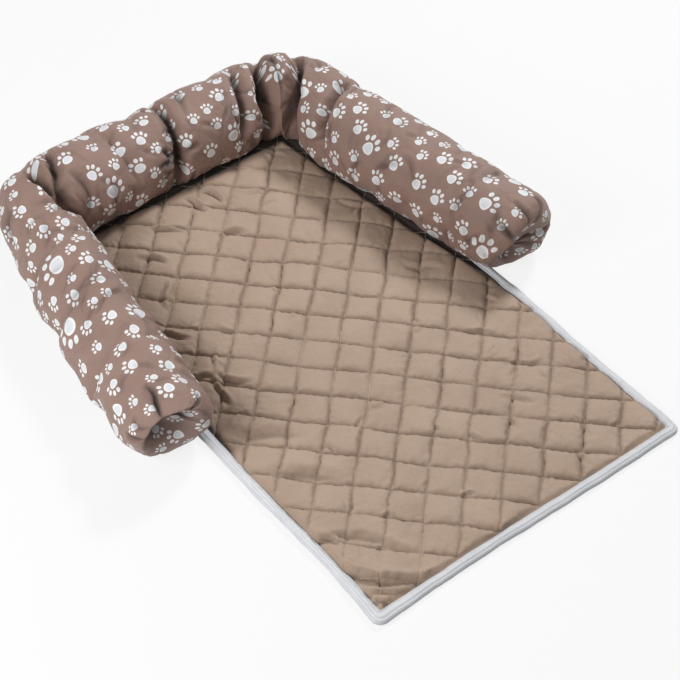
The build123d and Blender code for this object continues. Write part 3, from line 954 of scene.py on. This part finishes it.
def fold_depths(u, v):
    """How deep the cloth lies in its small folds: those above and random ones."""
    draws = np.random.default_rng(8)
    folds = [((a[0], a[1] / 360 * circumference), (b[0], b[1] / 360 * circumference), half, deep)
             for a, b, half, deep in cloth_folds]
    for _ in range(random_folds):
        start = np.array([draws.uniform(0.03, axis_length - 0.03),
                          draws.uniform(0.09, 0.92) * circumference])
        heading = math.radians(90 + draws.normal(0, 34))
        length = draws.uniform(0.018, 0.060)
        end = start + length * np.array([math.cos(heading), math.sin(heading)])
        half, deep = draws.uniform(0.0026, 0.0050), draws.uniform(0.0005, 0.0021)
        outside = abs(start[1] / circumference * 360 - 240) < 45
        folds.append((start, end, half, deep * (0.45 if outside else 1.3)))
    total, furrows = np.zeros_like(u), np.zeros_like(u)
    for start, end, half, deep in folds:
        reach = np.linalg.norm(np.array(end) - np.array(start)) + 5 * half
        near = np.flatnonzero((np.abs(u - start[0]) < reach) & (np.abs(v - start[1]) < reach))
        off, fade, _ = along_fold(u[near], v[near], start, end, 0.08, 1.5, 400)
        furrow = np.exp(-np.abs(off / half) ** 1.3)
        lips = peak(np.abs(off), 1.9 * half, half)
        total[near] += deep * fade * (furrow - 0.45 * lips)
        furrows[near] += deep * fade * furrow
    return total, furrows


def crease_cloth(piece):
    """Presses the small folds into the bolster, along its normals, and paints shade in their furrows."""
    mesh = piece.data
    place = np.zeros((len(mesh.vertices), 2))
    place[corner_points(mesh)] = map_of(mesh, "cloth")
    normals = np.zeros(len(mesh.vertices) * 3, np.float32)
    mesh.vertex_normals.foreach_get("vector", normals)
    depths, furrows = fold_depths(place[:, 0], place[:, 1])
    by_zip = np.abs(place[:, 0] - axis_length / 2) < zip_facet_half + 20 * mm
    by_zip &= np.abs(place[:, 1] - zip_around / 360 * circumference) < 40 * mm
    depths[by_zip] = 0.0
    furrows[by_zip] = 0.0
    # Painted shade along the furrows of the small folds
    furrow_shade = (furrows / (5 * mm)).astype(np.float32)
    set_marks(piece, "painted_fold_shade", marks_of(piece, "painted_fold_shade") + furrow_shade)
    set_points(piece, points_of(piece) - normals.reshape(-1, 3) * depths[:, None])


def resting_height(points):
    """The lowest that the bolster lies: on the floor, or on the mat's edge."""
    inside = 1 - ramp(np.abs(points[:, 0]), half_width + 0.3 * mm, half_width + 2.3 * mm)
    inside *= 1 - ramp(points[:, 1], rear_y + 0.3 * mm, rear_y + 2.3 * mm)
    return 0.3 * mm + inside * rest_on_mat


def make_bolster(material):
    points, faces, corners, sewn, painted_fold_shade = bolster_skin()
    piece = new_piece("bolster", points, faces, material)
    # Painted shade of the creases and the gathered ends
    set_marks(piece, "painted_fold_shade", painted_fold_shade)
    add_map(piece, "cloth", flat_list(corners))
    recalculate(piece)
    inflate(piece, sewn, 2.0, 0.03, 14, 7 * mm)
    subdivide(piece)
    crease_cloth(piece)
    points = points_of(piece)
    points[:, 2] = np.maximum(points[:, 2], resting_height(points))
    set_points(piece, points)
    print_paws(piece)
    return piece


def near_bolster(x, y):
    """How far points of the floor lie from the axis of the bolster."""
    places, _ = axis_at(np.linspace(0, axis_length, 400))
    far = np.full(x.shape, 1e9)
    for place in places:
        far = np.minimum(far, np.hypot(x - place[0], y - place[1]))
    return far


def cell_place(index):
    """Where lines of the lattice lie: closer together beside the seams than between them."""
    cell = np.floor(index / steps_per_cell)
    share = index / steps_per_cell - cell
    share = share - seam_closeness * np.sin(2 * math.pi * share) / (2 * math.pi)
    return (cell + share) * quilt_pitch


def on_mat(along, across):
    """Places on the mat from lengths along its two sets of seams."""
    x = quilt_start[0] + (along - across) / math.sqrt(2)
    y = quilt_start[1] + (along + across) / math.sqrt(2)
    return x, y


def cell_shares(along, across):
    """The numbers of the cells, counted from a corner of the tables, and shares across them."""
    a, b = along / quilt_pitch + 32, across / quilt_pitch + 32
    low_a, low_b = np.floor(a).astype(int), np.floor(b).astype(int)
    return low_a, low_b, a - low_a, b - low_b


def crossing_heights(along, across):
    """How far the seams' crossings stand up or lie low, and the heights between them."""
    draws = np.random.default_rng(17).normal(0, 1, (64, 64))
    a, b, share_a, share_b = cell_shares(along, across)
    near = draws[a, b] * (1 - share_b) + draws[a, b + 1] * share_b
    far = draws[a + 1, b] * (1 - share_b) + draws[a + 1, b + 1] * share_b
    return near * (1 - share_a) + far * share_a


def cell_slopes(along, across):
    """A height that leans each cell its own way, from -1 to 1."""
    a, b, share_a, share_b = cell_shares(along, across)
    lean = np.random.default_rng(63).uniform(-1, 1, (64, 64, 2))[a, b]
    return lean[..., 0] * (share_a - 0.5) + lean[..., 1] * (share_b - 0.5)


def puckers(along, across, seed):
    """Small gathers of the cloth beside one set of seams, from -1 to 1."""
    cell = along / quilt_pitch
    line = np.round(cell).astype(int)
    away = (cell - line) * quilt_pitch
    piece = np.floor(across / quilt_pitch).astype(int)
    side = (away > 0).astype(int)
    table = np.random.default_rng(seed).uniform(0, 1, (64, 64, 2, 4))[line + 32, piece + 32, side]
    number = 2 * math.pi / (quilt_pitch / (3.0 + 3.5 * table[..., 0]))
    lean = 0.9 * (table[..., 1] - 0.5)
    ripple = np.sin((across + lean * away) * number + 2 * math.pi * table[..., 2])
    reach = (3.5 + 8.0 * table[..., 3]) * mm
    return ripple * np.exp(-np.abs(away) / reach) * ramp(np.abs(away), 0, 2.2 * mm)


def seam_strength(line, place, seed):
    """How tight a seam is drawn, from 0 to 1: it varies from seam to seam and along each."""
    table = np.random.default_rng(seed).normal(0.0, 1.0, (64, 128))
    spot = place / quilt_pitch * 1.5 + 64
    low = np.floor(spot).astype(int)
    share = spot - low
    draw = table[line + 32, low] * (1 - share) + table[line + 32, low + 1] * share
    return np.clip(0.88 + 0.16 * draw, 0.45, 1.0)


def cell_rise(along, across, x, y):
    """Shares of a cell's puff, from 0 on its tight seams to 1 at its middle."""
    slack = 0.85 * np.exp(-(((x + half_width) ** 2 + (y - front_y) ** 2) / slack_corner**2))
    rise = np.ones_like(along)
    for place, other, seed, slackened in ((along, across, 61, 0.25), (across, along, 62, 1.0)):
        cell = place / quilt_pitch
        line = np.round(cell).astype(int)
        share = 1 - 2 * np.abs(cell - line)
        flank = 1 - np.sqrt(np.clip(1 - share**6.0, 0, 1)) * (1 - 0.10 * share**2)
        rise *= 1 - flank * seam_strength(line, other, seed) * (1 - slack * slackened)
    return rise


# Folds of the mat that the photograph shows: two ends, half width and height
mat_tucks = (
    ((-0.285, -0.325), (-0.120, -0.480), 0.0080, 0.0058),
    ((-0.275, -0.275), (-0.150, -0.395), 0.0055, 0.0032),
    ((-0.270, -0.385), (-0.195, -0.455), 0.0042, 0.0042),
    ((-0.262, -0.420), (-0.225, -0.452), 0.0034, 0.0040),
    ((-0.255, -0.300), (-0.225, -0.335), 0.0038, 0.0030),
    ((-0.225, -0.080), (-0.150, -0.155), 0.0090, 0.0040),
    ((-0.215, -0.165), (-0.150, -0.250), 0.0085, 0.0036),
    ((-0.190, 0.002), (-0.150, -0.040), 0.0036, 0.0040),
    ((-0.188, 0.000), (-0.205, -0.060), 0.0040, 0.0045),
    ((-0.190, 0.004), (-0.228, 0.016), 0.0036, 0.0040),
    ((-0.186, 0.004), (-0.155, 0.038), 0.0032, 0.0034),
    ((-0.170, 0.080), (-0.205, 0.120), 0.0040, 0.0045),
    ((-0.168, 0.150), (-0.135, 0.190), 0.0042, 0.0042),
    ((-0.012, 0.325), (0.004, 0.275), 0.0042, 0.0048),
    ((0.022, 0.322), (0.032, 0.275), 0.0042, 0.0046),
    ((-0.022, 0.232), (0.022, 0.214), 0.0040, 0.0036),
    ((-0.090, 0.310), (-0.050, 0.262), 0.0045, 0.0046),
    ((-0.140, 0.262), (-0.108, 0.226), 0.0040, 0.0042),
    ((0.150, -0.138), (0.182, -0.170), 0.0034, 0.0024),
    ((0.138, -0.205), (0.170, -0.188), 0.0034, 0.0024),
    ((0.165, -0.232), (0.198, -0.250), 0.0036, 0.0024),
    ((0.105, -0.262), (0.142, -0.300), 0.0036, 0.0024),
    ((0.060, 0.285), (0.115, 0.245), 0.0045, 0.0026),
    ((0.170, 0.180), (0.205, 0.130), 0.0045, 0.0028),
    ((0.165, 0.020), (0.205, -0.030), 0.0045, 0.0028),
)


def tuck(x, y, start, end, half, height):
    """A fold of the cloth: a ridge, with a furrow on the side away from the light."""
    off, fade, way = along_fold(x, y, start, end, 0.06, 1.7, 300)
    side = 1.0 if way[0] * 0.24 - way[1] * 0.97 < 0 else -1.0
    furrow = peak(off, side * 1.8 * half, 0.9 * half)
    return height * fade * (peak(off, 0.0, half) - 0.7 * furrow)


def tucked(x, y):
    """Heights of all the mat's folds: those above, and small ones that start at the seams."""
    total = np.zeros_like(x)
    for start, end, half, height in mat_tucks:
        total += tuck(x, y, start, end, half, height)
    draws = np.random.default_rng(64)
    for _ in range(random_tucks):
        along, across = draws.uniform(-0.50, 0.78), draws.uniform(-0.62, 0.62)
        if draws.uniform() < 0.5:
            along = round(along / quilt_pitch) * quilt_pitch
        else:
            across = round(across / quilt_pitch) * quilt_pitch
        lean = 45 + 90 * draws.integers(0, 4) + draws.choice((-1, 1)) * draws.uniform(18, 60)
        heading = math.radians(lean)
        length = draws.uniform(0.012, 0.030)
        start = on_mat(along, across)
        end = (start[0] + length * math.cos(heading), start[1] + length * math.sin(heading))
        half, height = draws.uniform(0.0018, 0.0034), draws.uniform(0.0008, 0.0026)
        near = (np.abs(x - start[0]) < 0.05) & (np.abs(y - start[1]) < 0.05)
        total[near] += tuck(x[near], y[near], start, end, half, height)
    return total


def settle(points):
    """Moves points of the mat as it lies, a little out of true towards its front."""
    x, y = points[:, 0], points[:, 1]
    free = ramp(-y, 0.03, 0.20)
    moved = points.copy()
    moved[:, 0] += 2.6 * mm * free * hills(x, y, 0.30, 51)
    moved[:, 1] += 1.8 * mm * free * hills(x, y, 0.30, 52)
    return moved


def quilt_lattice():
    """Points of the quilt's lattice, by their numbers along both sets of seams, and its faces."""
    reach = int((half_width + rear_y - front_y) / math.sqrt(2) / lattice_step)
    index = np.arange(-reach, reach + 1)
    line_a, line_b = np.meshgrid(index, index, indexing="ij")
    x, y = on_mat(cell_place(line_a), cell_place(line_b))
    margin = 2 * lattice_step
    inside = (np.abs(x) < half_width + margin) & (y > front_y - margin) & (y < rear_y + margin)
    number = np.full(inside.shape, -1)
    number[inside] = np.arange(inside.sum())
    whole = inside[:-1, :-1] & inside[1:, :-1] & inside[1:, 1:] & inside[:-1, 1:]
    rows, columns = np.nonzero(whole)
    faces = [number[rows + up, columns + over] for up, over in ((0, 0), (1, 0), (1, 1), (0, 1))]
    return line_a[inside], line_b[inside], np.stack(faces, 1)


def quilt_shade(x, y, rise, rim, from_axis, folded):
    """The mat's painted shade in its seams and folds, and its painted shadow beside the bolster."""
    # Painted shade in the seams
    painted_mat_shade = 0.8 * np.clip((1 - rise - 0.15) / 0.8, 0, 1) ** 1.3 * rim
    # Painted shadow beside the bolster, nearly black at its foot, and painted shade under it
    outside = np.clip(from_axis - 62 * mm, 0, 1)
    beside = 1.15 * np.exp(-outside / (4.5 * mm)) + 0.25 * np.exp(-outside / (24 * mm))
    beside += 0.8 * (1 - ramp(from_axis, 48 * mm, 60 * mm))
    # A wider painted shadow beside the left arm
    left_arm_shadow = np.exp(-np.clip(from_axis - 98 * mm, 0, 1) / (15 * mm))
    beside += 0.42 * ramp(-x, 0.05, 0.12) * left_arm_shadow
    beside *= ramp(y, fold_y - 0.02, fold_y)
    # Painted shade in the furrows of the folds
    furrow = 0.85 * ramp(-folded, 0.5 * mm, 3.6 * mm)
    return np.maximum(np.maximum(painted_mat_shade, beside), furrow)


def make_quilt(material):
    """The mat's quilted cloth, and the points along its seams by their numbers."""
    a, b, faces = quilt_lattice()
    along, across = cell_place(a), cell_place(b)
    x, y = on_mat(along, across)
    edge = np.minimum(half_width - np.abs(x), np.minimum(y - front_y, rear_y - y))
    rim = ramp(edge, binding_width - 2 * mm, binding_width + 5 * mm)
    lively = 1 + 0.20 * hills(x, y, 0.15, 11) + 0.10 * hills(x, y, 0.07, 12)
    gathers = puckers(along, across, 41) + puckers(across, along, 42)
    rise = cell_rise(along, across, x, y)
    rolling = seam_wander * crossing_heights(along, across) + mat_roll * hills(x, y, 0.20, 13)
    from_axis = near_bolster(x, y)
    swollen = mat_rise * ramp(from_axis, 48 * mm, 95 * mm) * ramp(y, -0.25, -0.05)
    puff = rise * (puff_height * lively + cell_tilt * cell_slopes(along, across))
    height = stitch_height + rim * (rolling + puff)
    folded = tuck_scale * tucked(x, y)
    height += rim * swollen + (0.3 + 0.7 * rim) * (pucker_height * gathers + folded)
    x = x + rim * (wander * hills(x, y, 0.085, 53) + fine_wander * hills(x, y, 0.022, 55))
    y = y + rim * (wander * hills(x, y, 0.085, 54) + fine_wander * hills(x, y, 0.022, 56))
    piece = new_piece("quilted_mat", np.stack([x, y, height], 1), faces, material)
    # The mat's painted shade and painted shadow, kept at its points
    set_marks(piece, "painted_mat_shade", quilt_shade(x, y, rise, rim, from_axis, folded))
    seam = (a % steps_per_cell == 0) | (b % steps_per_cell == 0)
    inflate(piece, seam, 0.6, 0.008, 8, 3 * mm, 0.5)
    blown = points_of(piece)
    height = blown[:, 2]
    most = 9.5 * mm - 3.0 * mm * ramp(from_axis, 44 * mm, 50 * mm)
    most += 17 * mm * ramp(from_axis, 52 * mm, 74 * mm)
    height = np.minimum(height, most)
    height = height * rim + np.minimum(height, 6.4 * mm) * (1 - rim)
    blown[:, 2] = np.maximum(height, lining_height + 1.0 * mm)
    set_points(piece, blown)
    keys = zip(a[seam].tolist(), b[seam].tolist())
    seam_points = dict(zip(keys, points_of(piece)[seam]))
    trim_to_outline(piece)
    close_below(piece)
    set_points(piece, settle(points_of(piece)))
    return piece, seam_points


def trim_to_outline(piece):
    """Cuts the quilt to the mat's outline, a little inside the binding."""
    sheet = bmesh.new()
    sheet.from_mesh(piece.data)
    side = half_width - mat_inset
    low, high = front_y + mat_inset, rear_y - mat_inset
    cut(sheet, (side, 0), (1, 0))
    cut(sheet, (-side, 0), (-1, 0))
    cut(sheet, (0, low), (0, -1))
    cut(sheet, (0, high), (0, 1))
    for way in (-1, 1):
        cut(sheet, (way * side, high - rear_shoulder), (way, 1))
    loose = [v for v in sheet.verts if not v.link_faces]
    bmesh.ops.delete(sheet, geom=loose, context="VERTS")
    sheet.to_mesh(piece.data)
    sheet.free()


def close_below(piece):
    """Gives a sheet its flat underside and its edges, as one closed form."""
    mesh = piece.data
    top = points_of(piece)
    count = len(top)
    bottom = top.copy()
    bottom[:, 2] = lining_height
    faces = [tuple(p.vertices) for p in mesh.polygons]
    directed = {pair: True for face in faces for pair in zip(face, face[1:] + face[:1])}
    sides = [(a, b) for a, b in directed if (b, a) not in directed]
    walls = [(b, a, a + count, b + count) for a, b in sides]
    under = [tuple(count + corner for corner in reversed(face)) for face in faces]
    # The painted shade of the top is kept for the points below too
    painted_mat_shade = marks_of(piece, "painted_mat_shade")
    mesh.clear_geometry()
    mesh.from_pydata([tuple(p) for p in np.vstack([top, bottom])], [], faces + walls + under)
    set_marks(piece, "painted_mat_shade", np.tile(painted_mat_shade, 2))
    shade_smooth(piece)


def stitch_rows(rows):
    """Points and faces of stitches along rows, each row a line of points."""
    ring = [(math.cos(t), math.sin(t)) for t in np.radians([0, 72, 144, 216, 288])]
    stations = ((-0.5, 0.25, -0.35), (-0.3, 1.0, 0.35), (0.3, 1.0, 0.35), (0.5, 0.25, -0.35))
    points, faces = [], []
    for line in rows:
        run = np.concatenate([[0], np.cumsum(np.linalg.norm(np.diff(line, axis=0), axis=1))])
        for index in range(int(run[-1] / (stitch_length + stitch_gap))):
            middle = (index + 0.5) * (stitch_length + stitch_gap)
            ends = [np.array([np.interp(middle + share * stitch_length, run, line[:, axis])
                              for axis in range(3)]) for share in (-0.5, 0.5)]
            way = ends[1] - ends[0]
            way /= np.linalg.norm(way)
            beside = np.cross(way, (0, 0, 1))
            beside /= max(np.linalg.norm(beside), 1e-9)
            up = np.cross(beside, way)
            centre = (ends[0] + ends[1]) / 2
            first = len(points)
            for share, fat, lift in stations:
                spot = centre + way * share * stitch_length + up * lift * thread_radius * 2
                points += [spot + (beside * c + up * s) * thread_radius * fat for c, s in ring]
            for station in range(first, first + 15, 5):
                for corner in range(5):
                    a, b = station + corner, station + (corner + 1) % 5
                    faces.append((a, b, b + 5, a + 5))
            faces.append(tuple(range(first + 4, first - 1, -1)))
            faces.append(tuple(range(first + 15, first + 20)))
    return points, faces


def quilting_rows(seam_points):
    """The lines of the quilting's stitches, from one edge of the mat to the other."""
    rows = []
    reach = max(max(abs(a), abs(b)) for a, b in seam_points)
    cells = reach // steps_per_cell + 1
    for line in range(-cells, cells + 1):
        fixed = line * steps_per_cell
        for crossing in (False, True):
            row = []
            for step in range(-reach, reach + 1):
                point = seam_points.get((step, fixed) if crossing else (fixed, step))
                if point is None:
                    continue
                edge = min(half_width - abs(point[0]), point[1] - front_y, rear_y - point[1])
                if edge > binding_width - 1 * mm:
                    row.append(point + np.array([0, 0, 0.1 * mm]))
            if len(row) > 4:
                rows.append(settle(np.array(row)))
    return rows


def edge_path(step):
    """Places round the mat's edge: the middle of its curve, the way out from there, the curve's
    radius, and whether the place is at a corner of the mat."""
    middles = []
    for side, y, radius in ((1, front_y, front_round), (1, rear_y, rear_round),
                            (-1, rear_y, rear_round), (-1, front_y, front_round)):
        inwards = -radius if y > 0 else radius
        middles.append((np.array([side * (half_width - radius), y + inwards]), radius))
    path = []
    for index, (middle, radius) in enumerate(middles):
        start = 90 * index - 90
        for turn in np.linspace(start, start + 90, max(8, int(radius * math.pi / 2 / step))):
            out = np.array([math.cos(math.radians(turn)), math.sin(math.radians(turn))])
            path.append((middle, out, radius, True))
        next_middle, next_radius = middles[(index + 1) % 4]
        first = middle + out * radius
        last = next_middle + out * next_radius
        count = int(np.linalg.norm(last - first) / step)
        for share in np.linspace(0, 1, count, endpoint=False)[1:]:
            spot = first * (1 - share) + last * share
            path.append((spot - out * front_round, out, front_round, False))
    return path


def edge_point(entry, inset):
    """The point of a place on the edge, drawn in by a distance, mitred at tight corners."""
    middle, out, radius, corner = entry
    if inset <= radius or not corner:
        return middle + out * (radius - inset)
    centre = (0.0, (front_y + rear_y) / 2)
    return middle - np.copysign(1, middle - centre) * (inset - radius)


# The binding's section: distance in from the edge, and height, round the tape
binding_section = (
    (15.0, 6.2), (15.1, 7.4), (13.9, 8.4), (12.7, 8.1), (11.4, 9.1), (9.4, 10.3), (7.2, 10.5),
    (5.4, 9.9), (4.4, 8.8), (3.2, 9.0), (1.4, 8.2), (0.2, 6.2), (0.0, 4.2), (0.5, 2.2),
    (1.8, 0.8), (4.0, 0.2), (9.0, 0.1), (15.0, 0.1), (15.0, 0.9), (9.0, 0.9), (4.4, 1.1),
    (2.6, 1.8), (1.6, 3.0), (1.2, 4.6), (1.6, 6.4), (3.4, 8.8), (6.2, 9.5), (9.0, 9.0),
    (11.6, 7.7), (12.6, 7.2), (13.6, 7.1),
)
binding_step = 4.5 * mm
seam_inset = 12.7 * mm


def make_binding(material):
    """The tape round the mat's edge, and the line of its stitches."""
    path = edge_path(binding_step)
    section = np.array(binding_section) * mm
    edge = np.array([edge_point(entry, 0.0) for entry in path])
    x, y = edge[:, 0], edge[:, 1]
    wobble = hills(x, y, 0.045, 31)
    ruffle = hills(x, y, 0.016, 32)
    stray = hills(x, y, 0.09, 33)
    from_corner = np.hypot(x + half_width, y - front_y)
    full = 3.2 * mm * peak(from_corner, 0.0, 55 * mm) + 0.6 * mm * stray
    points = []
    for number, entry in enumerate(path):
        for inset, height in section:
            in_share = 1 - inset / binding_width
            drift = 0.5 * mm * stray[number] if inset > 10 * mm else 0.0
            spot = edge_point(entry, inset - full[number] * in_share + drift)
            if height > 2 * mm:
                height = height + (0.55 * wobble[number] + 0.45 * ruffle[number] * in_share) * mm
            points.append((spot[0], spot[1], height))
    lengths = np.concatenate([[0], np.cumsum(np.linalg.norm(np.diff(edge, axis=0), axis=1))])
    around = np.concatenate([[0], np.cumsum(np.linalg.norm(np.diff(section, axis=0), axis=1))])
    faces, corners = sleeve(np.append(lengths, lengths[-1] + binding_step),
                            np.append(around, around[-1] + 1 * mm), closed=True)
    piece = new_piece("edge_binding", settle(np.array(points)), faces, material)
    add_map(piece, "tape", flat_list(corners))
    recalculate(piece)
    subdivide(piece)
    seam_row = [(*edge_point(entry, seam_inset), (8.35 + 0.55 * w) * mm)
                for entry, w in zip(path, wobble)]
    return piece, settle(np.array(seam_row + seam_row[:1]))


def make_backing(material):
    """The sheet of cloth under the mat, and its flat size."""
    side = half_width - 5 * mm
    low, high = front_y + 5 * mm, rear_y - 5 * mm
    bpy.ops.object.select_all(action="DESELECT")
    bpy.ops.mesh.primitive_grid_add(x_subdivisions=54, y_subdivisions=88, size=1,
                                    location=(0, 0, 0))
    piece = bpy.context.object
    piece.name = "mat_backing"
    grid = points_of(piece)
    grid[:, 0] *= 2 * side
    grid[:, 1] = (grid[:, 1] + 0.5) * (high - low) + low
    edge = np.minimum(side - np.abs(grid[:, 0]), np.minimum(grid[:, 1] - low, high - grid[:, 1]))
    grid[:, 2] = (1.0 - 0.8 * ramp(edge, 12 * mm, 24 * mm)) * mm
    set_points(piece, grid)
    sheet = bmesh.new()
    sheet.from_mesh(piece.data)
    for way in (-1, 1):
        cut(sheet, (way * side, high - rear_shoulder), (way, 1))
    sheet.to_mesh(piece.data)
    sheet.free()
    while piece.data.uv_layers:
        piece.data.uv_layers.remove(piece.data.uv_layers[0])
    add_map(piece, "flat", points_of(piece)[corner_points(piece.data), :2])
    set_points(piece, settle(points_of(piece)))
    thick = piece.modifiers.new("thick", "SOLIDIFY")
    thick.thickness = 0.5 * mm
    thick.offset = 1.0
    apply_modifier(piece, "thick")
    piece.data.materials.append(material)
    shade_smooth(piece)
    return piece, (2 * side, high - low)


# The lamps: place, width and power
lamps = {
    "key": ((2.45, 0.85, 2.55), 0.60, 86.0),
    "left_fill": ((-1.65, 0.0, 1.25), 0.9, 27.0),
}
lamp_target = Vector((0, 0, 0.03))
camera_place = Vector((-1.2317, -1.5570, 2.0957))
camera_azimuth = -39.12
camera_elevation = 47.02
camera_roll = 1.48
world_glow = 0.19


def make_stage():
    """A plain pale floor, soft lamps and the photograph's camera."""
    bpy.ops.object.select_all(action="DESELECT")
    bpy.ops.mesh.primitive_plane_add(size=30, location=(0, 0, -0.0004))
    floor = bpy.context.object
    floor.name = "floor"
    pale = Finish("pale_floor")
    seen = pale.seen_ray("Camera", "Glossy", "Transmission")
    matt = pale.add("ShaderNodeBsdfDiffuse", inputs={"Color": (0.80, 0.80, 0.80, 1)})
    lit = pale.add("ShaderNodeEmission", inputs={"Color": (1, 1, 1, 1), "Strength": 1.0})
    mixed = pale.add("ShaderNodeMixShader", inputs={0: seen * 0.84, 1: matt, 2: lit})
    pale.add("ShaderNodeOutputMaterial", inputs={"Surface": mixed})
    floor.data.materials.append(pale.owner)

    sky = Finish("studio", "worlds")
    scene.world = sky.owner
    seen = sky.seen_ray("Camera", "Glossy")
    strength = sky.add("ShaderNodeMapRange", inputs={"Value": seen, "To Min": world_glow})
    glow = sky.add("ShaderNodeBackground", inputs={"Strength": strength})
    sky.add("ShaderNodeOutputWorld", inputs={"Surface": glow})

    for name, (place, size, power) in lamps.items():
        light = bpy.data.lights.new(name, "AREA")
        light.size = size
        light.energy = power
        lamp = bpy.data.objects.new(name, light)
        scene.collection.objects.link(lamp)
        lamp.location = place
        lamp.rotation_euler = (lamp_target - lamp.location).to_track_quat("-Z", "Y").to_euler()

    lens = bpy.data.cameras.new("camera")
    lens.lens = 106.0
    lens.sensor_width = 36.0
    lens.clip_end = 100
    camera = bpy.data.objects.new("camera", lens)
    scene.collection.objects.link(camera)
    turn = Matrix.Rotation(math.radians(camera_azimuth), 4, "Z")
    turn = turn @ Matrix.Rotation(math.pi / 2 - math.radians(camera_elevation), 4, "X")
    turn = turn @ Matrix.Rotation(math.radians(camera_roll), 4, "Z")
    camera.matrix_world = Matrix.Translation(camera_place) @ turn
    scene.camera = camera
    scene.view_settings.view_transform = "Standard"


make_stage()

cloth_of_quilt = quilt_cloth()
cloth_of_bolster = bolster_cloth()
tape = binding_tape()
quilt_thread = sewing_thread("quilt_thread", "#c9b5a1", "#dfcdbb")
binding_thread = sewing_thread("binding_thread", "#b3b6bd", "#d8dade")

quilt, seam_points = make_quilt(cloth_of_quilt)
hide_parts("seat_face", "apron_face", "seat_wadding", "apron_wadding")
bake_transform(quilt, "root", "apron", start=fold_start, end=fold_end)

stitches = new_piece("quilting_stitches", *stitch_rows(quilting_rows(seam_points)), quilt_thread)
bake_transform(stitches, "root", "apron", start=fold_start, end=fold_end)

binding, seam_row = make_binding(tape)
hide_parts("front_binding", "back_binding", "left_apron_binding", "right_apron_binding",
            "left_seat_binding", "right_seat_binding")
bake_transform(binding, "root", "apron", start=fold_start, end=fold_end)

binding_stitches = new_piece("binding_stitches", *stitch_rows([seam_row]), binding_thread)
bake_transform(binding_stitches, "root", "apron", start=fold_start, end=fold_end)

backing, backing_size = make_backing(backing_cloth())
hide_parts("seat_backing", "apron_backing")
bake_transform(backing, "root", "apron", start=fold_start, end=fold_end)

bolster = make_bolster(cloth_of_bolster)
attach(bolster, "root")
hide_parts("left_arm_cover", "back_cover", "right_arm_cover",
            "left_arm_filling", "back_filling", "right_arm_filling")

finishes = {
    "zip_tape": zip_tape_cloth(),
    "zip_teeth": zip_tooth_plastic(),
    "zip_metal": zip_metal(),
}
cad_finishes = {
    "upper_zip_tape": "zip_tape", "lower_zip_tape": "zip_tape",
    "upper_zip_teeth": "zip_teeth", "lower_zip_teeth": "zip_teeth",
    "zip_stops": "zip_metal", "zip_slider": "zip_metal", "zip_pull": "zip_metal",
}
for node, finish in cad_finishes.items():
    slots = frame["nodes"][node].material_slots
    for material_slot in slots:
        material_slot.material = finishes[finish]
